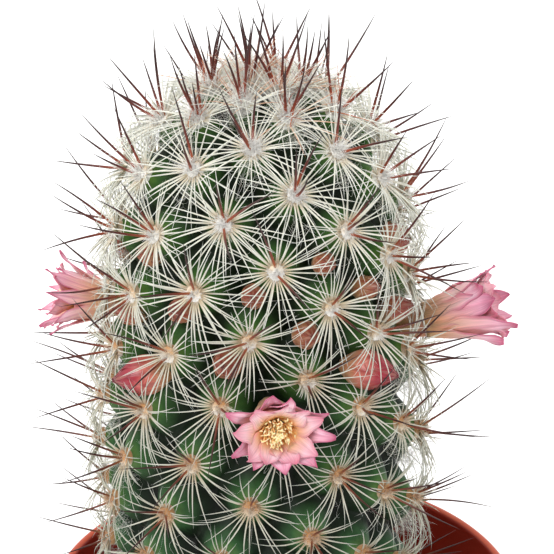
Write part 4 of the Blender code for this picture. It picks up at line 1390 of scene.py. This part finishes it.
    def build(self) -> None:
        """Build the crown and the eight spiral rows."""
        groups = {"crown": ([s for s in self.spots if s.number < self.first_pad],
                            "crown_spines", "crown_spines")}
        for row in range(self.row_step):
            members = self.spots[self.first_pad + row::self.row_step]
            groups[f"row_{row + 1}"] = (members, f"spine_row_{row + 1}", "spines")
        pads = cushion_tree()
        for label, (members, node, slot) in groups.items():
            white, fresh, brown, curly, hair, wool = (Fibres() for _ in range(6))
            for spot in members:
                self.grow_axil_wool(spot, wool)
                self.grow_radials(spot, white, fresh)
                self.grow_centrals(spot, brown)
                self.grow_hairs(spot, hair)
                if spot.number < self.curly_areoles:
                    self.grow_curls(spot, curly)
            drawn = [
                white.draw(f"radial_spines_{label}", Finish.RADIAL, sides=5, segments=7, taper=1.7),
                wool.draw(f"axil_wool_{label}", Finish.FLEECE, sides=3, segments=12, taper=4.0),
                brown.draw(f"central_spines_{label}", Finish.CENTRAL, sides=7, segments=9, taper=2.6),
                hair.draw(f"areole_hair_{label}", Finish.WOOL, sides=3, segments=3, taper=2.0),
                draw_cushions(f"areole_felt_{label}", pads, members)]
            if fresh.start:
                drawn.append(fresh.draw(
                    "new_spines_crown", Finish.NEW_RADIAL, sides=5, segments=7, taper=1.7))
                drawn.append(curly.draw(
                    "curly_fibres_crown", Finish.CURL, sides=4, segments=14, taper=3.0))
            for piece in drawn:
                place_piece(piece, slot, node)


def draw_cushions(name: str, tree: bpy.types.NodeTree, spots: list[Areole]) -> bpy.types.Object:
    """Build the felt cushions of some areoles as one piece."""
    mesh = bpy.data.meshes.new(name)
    mesh.from_pydata(np.array([spot.point for spot in spots]), [], [])
    for key in ("outward", "uphill"):
        layer = mesh.attributes.new(key, "FLOAT_VECTOR", "POINT")
        layer.data.foreach_set(
            "vector", np.array([getattr(s, key) for s in spots], np.float32).ravel())
    layer = mesh.attributes.new("age", "FLOAT", "POINT")
    layer.data.foreach_set("value", np.array([spot.age for spot in spots], np.float32))
    mesh.materials.append(Finish.WOOL.material())
    return run_tree(link(name, mesh), tree, {
        "Girth": (1.2 * MM, 1.4 * MM, 0.9 * MM), "Fullness": 0.97, "Lumps": 0.4 * MM,
        "Finish": Finish.WOOL.material()}, ("age",))


def cushion_tree() -> bpy.types.NodeTree:
    """Build the tree that sets one lumpy cushion on each areole."""
    tree, given = start_tree("set_cushions", {
        "Girth": "NodeSocketVector", "Fullness": "NodeSocketFloat",
        "Lumps": "NodeSocketFloat", "Finish": "NodeSocketMaterial"})
    ball = add_node(tree, "GeometryNodeMeshIcoSphere", {"Radius": 1.0, "Subdivisions": 3})
    height = add_node(tree, "ShaderNodeSeparateXYZ", {
        "Vector": add_node(tree, "GeometryNodeInputPosition")})
    marked = add_node(tree, "GeometryNodeStoreNamedAttribute", {
        "Geometry": ball, "Name": "rise", "Value": height.outputs["Y"]}, data_type="FLOAT")
    faced = add_node(tree, "FunctionNodeAlignRotationToVector", {
        "Vector": add_node(tree, "GeometryNodeInputNamedAttribute", {"Name": "outward"},
                           data_type="FLOAT_VECTOR")}, axis="Z")
    upright = add_node(tree, "FunctionNodeAlignRotationToVector", {
        "Rotation": faced,
        "Vector": add_node(tree, "GeometryNodeInputNamedAttribute", {"Name": "uphill"},
                           data_type="FLOAT_VECTOR")}, axis="Y", pivot_axis="Z")
    girth = add_node(tree, "ShaderNodeVectorMath", {
        0: given.outputs["Girth"], "Scale": given.outputs["Fullness"]}, operation="SCALE")
    placed = add_node(tree, "GeometryNodeInstanceOnPoints", {
        "Points": given.outputs["Geometry"], "Instance": marked, "Rotation": upright,
        "Scale": girth})
    real = add_node(tree, "GeometryNodeRealizeInstances", {"Geometry": placed})
    worn = add_node(tree, "ShaderNodeMath", {
        0: add_node(tree, "GeometryNodeInputNamedAttribute", {"Name": "rise"},
                    data_type="FLOAT"), 1: 0.26,
        2: add_node(tree, "GeometryNodeInputNamedAttribute", {"Name": "age"},
                    data_type="FLOAT")}, operation="MULTIPLY_ADD")
    aged = add_node(tree, "GeometryNodeStoreNamedAttribute", {
        "Geometry": real, "Name": "age", "Value": worn}, data_type="FLOAT")
    noise = add_node(tree, "ShaderNodeTexNoise", {"Scale": 1.0 / (0.6 * MM), "Detail": 2.0})
    centred = add_node(tree, "ShaderNodeVectorMath", {
        0: noise.outputs["Color"], 1: (0.5, 0.5, 0.5)}, operation="SUBTRACT")
    pushed = add_node(tree, "ShaderNodeVectorMath", {
        0: centred, "Scale": given.outputs["Lumps"]}, operation="SCALE")
    lumpy = add_node(tree, "GeometryNodeSetPosition", {"Geometry": aged, "Offset": pushed})
    end_tree(tree, lumpy, given.outputs["Finish"])
    return tree


# --- buds and flowers ---------------------------------------------------------------------


@dataclass
class BudRing:
    """The closed buds of the flowering ring, wrapped in overlapping scales.

    A whorl gives its count of scales, their foot and tip as shares of the bud, their width and
    how far they stand off.
    """

    form: StemForm
    taken: set[int]
    first: int = 27
    last: int = 50
    shortest: float = 4.2 * MM
    longest: float = 6.0 * MM
    ripe_length: float = 8.0 * MM
    ripe_swing: float = math.radians(26.0)
    slimness: float = 0.31
    tilt: float = math.radians(22.0)
    side_share: float = 0.14
    root_height: float = -0.2 * MM
    scale_wall: float = 0.12 * MM
    whorls: tuple[tuple[float, ...], ...] = (
        (5, 0.0, 0.62, 0.75, 0.16), (5, 0.12, 0.86, 0.72, 0.1), (6, 0.3, 1.0, 0.6, 0.04))

    def plan(self) -> list[Blossom]:
        """Return the place of each bud, youngest first."""
        buds = []
        for number in range(self.first, self.last + 1):
            if number in self.taken:
                continue
            age = (number - self.first) / (self.last - self.first)
            length = self.shortest + (self.longest - self.shortest) * age
            root, radial = self.form.axil(number, self.side_share, self.root_height)
            direction = radial * math.cos(self.tilt) + UP * math.sin(self.tilt)
            if self.ripe(number):
                length = self.ripe_length
                swing = math.copysign(self.ripe_swing, radial[0])
                direction = radial * math.cos(swing) + np.cross(UP, radial) * math.sin(swing)
            radius = self.slimness * length
            buds.append(Blossom(f"bud_{len(buds) + 1:02d}", number, root, direction, length,
                                radius, 0.5 * radius, 1.5))
        return buds

    def ripe(self, number: int) -> bool:
        """Return whether a bud is about to open: some of the oldest are."""
        return number > self.last - 3 and number % 2 == 0

    def radius_at(self, share: np.ndarray, widest: float) -> np.ndarray:
        """Return a bud's radius along its length: a narrow foot, a full middle, a point."""
        swell = 0.45 + 0.55 * np.sin(np.minimum(share / 0.4, 1.0) * math.pi / 2)
        close = np.cos(np.clip((share - 0.4) / 0.6, 0.0, 1.0) * math.pi / 2) ** 0.95
        return widest * np.where(share < 0.4, swell, close)

    def build_one(self, bud: Blossom) -> bpy.types.Object:
        """Build one bud: its core and three whorls of scales."""
        random = np.random.default_rng(bud.areole)
        age = (bud.areole - self.first) / (self.last - self.first)
        ripe = 1.0
        if not self.ripe(bud.areole):
            ripe = float(np.clip(0.45 * age + random.normal() * 0.15, 0.0, 0.7))
        sheets = Sheets()
        share = np.linspace(0.0, 1.0, 18)
        core = np.stack([0.93 * self.radius_at(share, bud.root_radius), share * bud.length], -1)
        core[0, 0] = 0.0
        sheets.add(bud.stand(turned(core, 18)), True, along=share[:, None], across=0.0, age=ripe)
        for ring, (count, low, high, width, stand_off) in enumerate(self.whorls):
            for index in range(count):
                turn = 2.0 * math.pi * (index + 0.5 * ring + 0.1 * random.normal()) / count
                top = high + 0.03 * random.normal() * (ring < 2)
                rise = np.linspace(0.0, 1.0, 14)[:, None]
                cross = np.linspace(-1.0, 1.0, 9)[None]
                level = low + (top - low) * rise * (1.0 - 0.06 * cross ** 2)
                half = width * 1.3 * np.maximum(1.0 - rise ** 3.2, 0.03) * (0.75 + 0.5 * rise)
                radius = self.radius_at(np.minimum(level, 0.985), bud.root_radius)
                radius = radius + stand_off * MM * (1.0 + 1.6 * rise ** 4) * (1.0 - 0.4 * cross ** 2)
                angle = turn + cross * half
                sheet = np.stack([radius * np.cos(angle), radius * np.sin(angle),
                                  level * bud.length + 0.0 * angle], -1)
                sheets.add(bud.stand(sheet), along=np.clip(level * 0.75 + 0.25 * rise, 0, 1),
                           across=0.5 + 0.5 * cross, age=np.clip(ripe + 0.15 * (ring - 1), 0, 1))
        item = sheets.build("closed_" + bud.name, Finish.BUD, closed=False)
        wall = item.modifiers.new("scale_wall", "SOLIDIFY")
        wall.thickness = self.scale_wall
        return settle(item, ("along", "across", "age"))


@dataclass
class PetalRing:
    """One whorl of petals: how many, how wide, and how each opens from foot to tip."""

    count: int
    foot_height: float
    foot_radius: float
    width: float
    open_from: float
    open_to: float
    tip_curl: float
    spread: float
    top: float
    start: float = 0.0
    bend_power: float = 1.2
    point: float = 0.8
    vary: float = 0.07
    press: float = 0.0

    def petal(self, turn: float, random: np.random.Generator) -> tuple[np.ndarray, ...]:
        """Return one petal as a grid of points, with its values along and across.

        Args:
            turn: Its place round the flower.
            random: The draws that make it its own.

        Returns:
            The points and the two named values.
        """
        draws = random.normal(size=8)
        rows, columns = 20, 9
        share = np.linspace(0.0, 1.0, rows)
        opening = self.open_from + (self.open_to * (1.0 + self.vary * draws[0]) - self.open_from) * (
            share ** self.bend_power)
        opening = opening + self.tip_curl * (1.0 + 0.5 * draws[1]) * np.clip(
            (share - 0.6) / 0.4, 0.0, 1.0) ** 2
        lean = np.radians(opening)
        middle = 0.5 * (lean[1:] + lean[:-1])
        run = np.append(0.0, np.cumsum(np.sin(middle))) / (rows - 1)
        rise = np.append(0.0, np.cumsum(np.cos(middle))) / (rows - 1)
        squash = 1.0 - self.press * math.sin(turn) ** 2 * (0.5 if math.sin(turn) > 0.0 else 1.0)
        run *= (self.spread * squash - self.foot_radius) / run[-1] * (1.0 + self.vary * draws[2])
        rise *= (self.top - self.foot_height) / rise[-1] * (1.0 + self.vary * draws[7])
        half = 0.5 * self.width * (1.0 + 0.08 * draws[3]) * (
            0.62 + 0.38 * np.sin(np.clip(share / 0.55, 0.0, 1.0) * math.pi / 2)) * np.where(
            share < 0.5, 1.0,
            np.cos(np.clip((share - 0.5) / 0.51, 0, 1) * math.pi / 2) ** self.point)
        half = half * (1.0 + 0.09 * np.sin(19.0 * share + 3.0 * draws[4]))
        hollow = self.foot_radius + (7.0 * MM - self.foot_radius) * np.minimum(share * 1.5, 1.0)
        cross = np.linspace(-1.0, 1.0, columns)[None]
        bow = cross * (half / hollow)[:, None]
        spoke = np.array([math.cos(turn), math.sin(turn), 0.0])
        tangent = np.array([-math.sin(turn), math.cos(turn), 0.0])
        centre = spoke * (self.foot_radius + run)[:, None] + UP * (
            self.foot_height + rise)[:, None]
        inward = UP * np.sin(lean)[:, None] - spoke * np.cos(lean)[:, None]
        grid = centre[:, None] + tangent * (hollow[:, None] * np.sin(bow))[..., None]
        grid = grid + inward[:, None] * (hollow[:, None] * (1.0 - np.cos(bow)))[..., None]
        ripple = 0.13 * self.width * np.sin(9.0 * share + 2.0 * draws[5])[:, None]
        ripple = ripple * cross * share[:, None]
        keel = -0.14 * MM * np.exp(-(cross / 0.3) ** 2) * np.sin(math.pi * share)[:, None]
        grid = grid + inward[:, None] * (ripple + keel)[..., None]
        sag = tangent * (0.5 * MM * draws[6]) * (share ** 2)[:, None]
        return grid + sag[:, None], share[:, None], 0.5 + 0.5 * cross

    def build(self, name: str, finish: Finish, place: Blossom, wall: float,
              seed: int) -> bpy.types.Object:
        """Build the whorl as one piece on its axil."""
        random = np.random.default_rng(seed)
        sheets = Sheets()
        for index in range(self.count):
            turn = self.start + 2.0 * math.pi * (index + 0.12 * random.normal()) / self.count
            grid, along, across = self.petal(turn, random)
            sheets.add(place.stand(grid), along=along, across=across,
                       age=float(np.clip(0.4 + 0.3 * random.normal(), 0.0, 1.0)))
        item = sheets.build(name, finish, closed=False)
        solid = item.modifiers.new("petal_wall", "SOLIDIFY")
        solid.thickness = wall
        solid.offset = 0.0
        return settle(item, ("along", "across", "age"))


@dataclass
class OpenFlower:
    """One open flower: tube, outer and inner petals, stamens with pollen sacs, and pistil."""

    name: str
    form: StemForm
    areole: int
    side_share: float
    length: float
    spread: float
    up: float
    turn: float
    flare: float
    curl: float
    root_radius: float = 1.3 * MM
    waist_radius: float = 2.32 * MM
    throat_radius: float = 2.9 * MM
    wall: float = 0.5 * MM
    tube_share: float = 0.58
    petals: int = 9
    petal_width: float = 3.0 * MM
    petal_point: float = 0.95
    petal_vary: float = 0.1
    petal_wall: float = 0.14 * MM
    press: float = 0.0
    cup_depth: float = 1.3 * MM
    stamen_length: float = 2.3 * MM
    stamens: int = 120
    root_height: float = 1.2 * MM

    def __post_init__(self) -> None:
        """Find the flower's place on the stem."""
        root, radial = self.form.axil(self.areole, self.side_share, self.root_height)
        swing, rise = math.radians(self.turn), math.radians(self.up)
        swung = np.array([radial[0] * math.cos(swing) - radial[1] * math.sin(swing),
                          radial[0] * math.sin(swing) + radial[1] * math.cos(swing), 0.0])
        self.place = Blossom(
            self.name, self.areole, root, swung * math.cos(rise) + UP * math.sin(rise),
            self.length, self.throat_radius, self.spread)
        self.tube_top = self.tube_share * self.length
        self.cup_floor = self.tube_top - self.cup_depth

    def build_tube(self) -> bpy.types.Object:
        """Build the tube: a ribbed funnel with a cup for the stamens."""
        outer = np.linspace(0.0, 1.0, 16)
        radius = self.root_radius + (self.waist_radius - self.root_radius) * np.minimum(
            outer / 0.5, 1.0) ** 0.8
        radius = radius + (self.throat_radius - self.waist_radius) * np.clip(
            (outer - 0.5) / 0.5, 0.0, 1.0) ** 1.3
        inner = np.linspace(1.0, 0.0, 8)
        lined = self.waist_radius + (self.throat_radius - self.waist_radius) * inner - self.wall
        depth = self.cup_floor + (self.tube_top - self.cup_floor) * inner
        outline = np.concatenate([
            [(0.0, 0.0)], np.stack([radius, outer * self.tube_top], -1),
            np.stack([lined, depth], -1), [(0.0, self.cup_floor)]])
        lining = np.arange(len(outline)) > len(radius)
        grid = turned(outline, 72)
        ribs = 1.0 + 0.022 * np.cos(self.petals * np.arange(72) * 2.0 * math.pi / 72)
        grid[1:17, :, :2] *= ribs[None, :, None]
        sheets = Sheets()
        sheets.add(self.place.stand(grid), True, along=(outline[:, 1] / self.tube_top)[:, None],
                   across=((np.arange(72) * self.petals / 72) % 1.0)[None],
                   age=lining[:, None])
        return sheets.build(f"{self.name}_flower_tube", Finish.TUBE)

    def build_petals(self, inner: bool) -> bpy.types.Object:
        """Build the outer or the inner whorl of petals."""
        seed = self.areole + (100 if inner else 0)
        flare = math.radians(self.flare)
        run = (self.spread - self.throat_radius) / math.sin(flare)
        if inner:
            ring = PetalRing(
                self.petals, self.tube_top - 0.9 * MM, self.throat_radius - 1.65 * MM,
                1.05 * self.petal_width, 0.25 * self.flare, 0.95 * self.flare, 0.6 * self.curl,
                self.throat_radius + 0.78 * run * math.sin(0.85 * flare),
                self.tube_top + 0.82 * run * math.cos(0.85 * flare), math.pi / self.petals, 0.9,
                0.7 * self.petal_point, 0.7 * self.petal_vary, self.press)
            return ring.build(f"{self.name}_flower_inner_petals", Finish.PETAL, self.place,
                              self.petal_wall, seed)
        ring = PetalRing(
            self.petals, 0.4 * self.tube_top, self.waist_radius,
            self.petal_width, 10.0, 1.08 * self.flare, self.curl, self.spread,
            self.tube_top + run * math.cos(flare), 0.0, 1.6, self.petal_point, self.petal_vary,
            self.press)
        return ring.build(f"{self.name}_flower_outer_petals", Finish.SEPAL, self.place,
                          self.petal_wall, seed)

    def build_heart(self) -> list[bpy.types.Object]:
        """Build the filaments, the pollen sacs on them and the pistil."""
        random = np.random.default_rng(self.areole + 200)
        rods, sacs, pistil = Fibres(), Fibres(), Fibres()
        turn_to = self.place.stand
        root = self.place.root
        for index in range(self.stamens):
            share = (index + 0.5) / self.stamens
            turn = index * self.form.divergence
            foot = (0.1 + 1.1 * math.sqrt(share)) * MM
            spoke = np.array([math.cos(turn), math.sin(turn), 0.0])
            start = spoke * foot + UP * (self.cup_floor + 0.2 * MM)
            reach = self.stamen_length * (1.4 - 0.45 * share + 0.1 * random.normal())
            aim = UP + spoke * (0.6 * share - 0.15) + 0.12 * random.normal(size=3)
            aim /= np.linalg.norm(aim)
            sway = -spoke * 0.2 * MM * random.uniform(0.0, 1.0)
            rods.add(turn_to(start), turn_to(aim) - root, reach, 0.12 * MM, 0.0,
                     turn_to(sway) - root)
            tip = start + aim * reach + sway - aim * 0.12 * MM
            sacs.add(turn_to(tip), turn_to(aim + 0.8 * random.normal(size=3)) - root,
                     0.5 * MM, 0.12 * MM, 0.0)
        base = UP * (self.cup_floor + 0.2 * MM)
        tall = 1.25 * self.stamen_length
        pistil.add(turn_to(base), self.place.direction, tall, 0.3 * MM, 0.0)
        for index in range(6):
            turn = 2.0 * math.pi * index / 6
            lobe = np.array([math.cos(turn), math.sin(turn), 0.9])
            pistil.add(turn_to(base + UP * (tall - 0.15 * MM)), turn_to(lobe / 1.35) - root,
                       0.85 * MM, 0.2 * MM, 0.0, -self.place.direction * 0.15 * MM)
        name = f"{self.name}_flower"
        return [rods.draw(f"{name}_filaments", Finish.FILAMENT, sides=5, segments=4, taper=6.0),
                sacs.draw(f"{name}_pollen_sacs", Finish.ANTHER, sides=6, segments=4, taper=2.5),
                pistil.draw(f"{name}_pistil", Finish.STIGMA, sides=8, segments=5, taper=6.0)]

    def build(self) -> None:
        """Build every piece of the flower and put it in its place."""
        node = f"flower_{self.name}_"
        place_piece(self.build_tube(), "flower_tube", node + "tube")
        place_piece(self.build_petals(False), "petal", node + "outer_petals")
        place_piece(self.build_petals(True), "petal", node + "inner_petals")
        rods, sacs, pistil = self.build_heart()
        place_piece(rods, "stamen", node + "stamens")
        place_piece(sacs, "stamen", node + "stamens")
        place_piece(pistil, "pistil", node + "pistil")


# --- studio -------------------------------------------------------------------------------


@dataclass
class Studio:
    """A pale floor, a white surround, brighter overhead and behind, one soft key, the camera."""

    target: Vector
    distance: float = 450.0 * MM
    look_down: float = math.radians(27.4)
    view_width: float = 73.18 * MM
    sensor: float = 36.0
    front_light: float = 0.22
    back_light: float = 1.4
    top_light: float = 0.85
    key_power: float = 3.3
    key_size: float = 0.35
    key_offset: tuple[float, float, float] = (-0.28, -0.5, 0.55)
    floor_half: float = 3.0
    near_limit: float = 10.0 * MM

    def build_floor(self) -> None:
        """Lay the floor that the pot stands on."""
        mesh = bpy.data.meshes.new("studio_floor")
        half = self.floor_half
        mesh.from_pydata([(-half, -half, 0), (half, -half, 0), (half, half, 0), (-half, half, 0)],
                         [], [(0, 1, 2, 3)])
        material = bpy.data.materials.new("floor_paper")
        material.use_nodes = True
        shader = material.node_tree.nodes["Principled BSDF"]
        shader.inputs["Base Color"].default_value = linear("#fefefe")
        shader.inputs["Roughness"].default_value = 0.9
        mesh.materials.append(material)
        link("studio_floor", mesh)

    def build_lights(self) -> None:
        """Hang the soft key light and whiten the surround."""
        scene = bpy.context.scene
        scene.view_settings.view_transform = "Standard"
        world = bpy.data.worlds.new("white_surround")
        world.use_nodes = True
        tree = world.node_tree
        gaze = add_node(tree, "ShaderNodeSeparateXYZ", {
            "Vector": add_node(tree, "ShaderNodeTexCoord")})
        around = add_node(tree, "ShaderNodeMapRange", {
            "Value": gaze.outputs["Y"], "From Min": -1.0, "To Min": self.front_light,
            "To Max": self.back_light})
        above = add_node(tree, "ShaderNodeMapRange", {
            "Value": gaze.outputs["Z"], "To Max": self.top_light})
        glow = add_node(tree, "ShaderNodeMath", {0: around, 1: above}, operation="ADD")
        tree.links.new(glow.outputs["Value"], tree.nodes["Background"].inputs["Strength"])
        tree.nodes["Background"].inputs["Color"].default_value = (1.0, 1.0, 1.0, 1.0)
        scene.world = world
        lamp = bpy.data.lights.new("key_light", "AREA")
        lamp.shape = "DISK"
        lamp.size = self.key_size
        lamp.energy = self.key_power
        key = bpy.data.objects.new("key_light", lamp)
        key.location = self.target + Vector(self.key_offset)
        key.rotation_euler = (self.target - key.location).to_track_quat("-Z", "Y").to_euler()
        scene.collection.objects.link(key)

    def build_camera(self) -> None:
        """Set the camera, level with nothing and looking down on the crown."""
        scene = bpy.context.scene
        lens = bpy.data.cameras.new("camera")
        lens.sensor_width = self.sensor
        lens.lens = self.distance * self.sensor / self.view_width
        lens.clip_start = self.near_limit
        camera = bpy.data.objects.new("camera", lens)
        gaze = Vector((0.0, math.cos(self.look_down), -math.sin(self.look_down)))
        camera.location = self.target - gaze * self.distance
        camera.rotation_euler = gaze.to_track_quat("-Z", "Y").to_euler()
        scene.collection.objects.link(camera)
        scene.camera = camera

    def build(self) -> None:
        """Build the floor, the lights and the camera."""
        self.build_floor()
        self.build_lights()
        self.build_camera()


def main() -> None:
    """Build the potted plant round its frame."""
    logging.basicConfig(level=logging.INFO, format="%(name)s: %(message)s", stream=sys.stdout)
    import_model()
    _, pot_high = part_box("pot")
    crown_low, crown_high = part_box("crown_spines")
    axis_x = 0.5 * (crown_low.x + crown_high.x)
    soil_top = pot_high.z - SOIL_DROP
    form = StemForm(pot_high.z, soil_top, axis_x)
    studio = Studio(Vector((axis_x + VIEW_ASIDE, 0.0, pot_high.z + VIEW_ABOVE_RIM)))
    studio.build()

    pot = NurseryPot(pot_high.x, pot_high.z)
    place_piece(pot.build(), "terracotta_plastic", "pot")
    soil = SoilBed(pot, form)
    bed = soil.build()
    place_piece(bed, "potting_soil", "potting_soil")
    place_piece(soil.build_crumbs(bed), "potting_soil", "potting_soil")
    place_piece(StemBody(form).build(), "cactus_skin", "stem")

    flowers = [
        OpenFlower("front", form, areole=53, side_share=0.33, length=10.6 * MM,
                   spread=7.5 * MM, up=-1.0, turn=6.0, flare=66.0, curl=4.0,
                   petal_width=3.3 * MM, petal_vary=0.05, press=0.34),
        OpenFlower("left", form, areole=47, side_share=0.14, length=12.3 * MM,
                   spread=5.2 * MM, up=9.0, turn=6.0, flare=36.0, curl=8.0,
                   petals=11, petal_width=2.0 * MM, petal_point=1.3, petal_vary=0.22),
        OpenFlower("right", form, areole=51, side_share=0.14, length=17.0 * MM,
                   spread=5.0 * MM, up=16.0, turn=-4.0, flare=24.0, curl=24.0,
                   petal_width=3.7 * MM, petal_point=0.7, petal_vary=0.12),
    ]
    ring = BudRing(form, {flower.areole for flower in flowers})
    buds = ring.plan()
    cover = SpineCover(form, pot, [flower.place for flower in flowers] + buds)
    cover.build()
    for bud in buds:
        place_piece(ring.build_one(bud), "bud_skin", bud.name)
    for flower in flowers:
        flower.build()


if __name__ == "__main__":
    main()
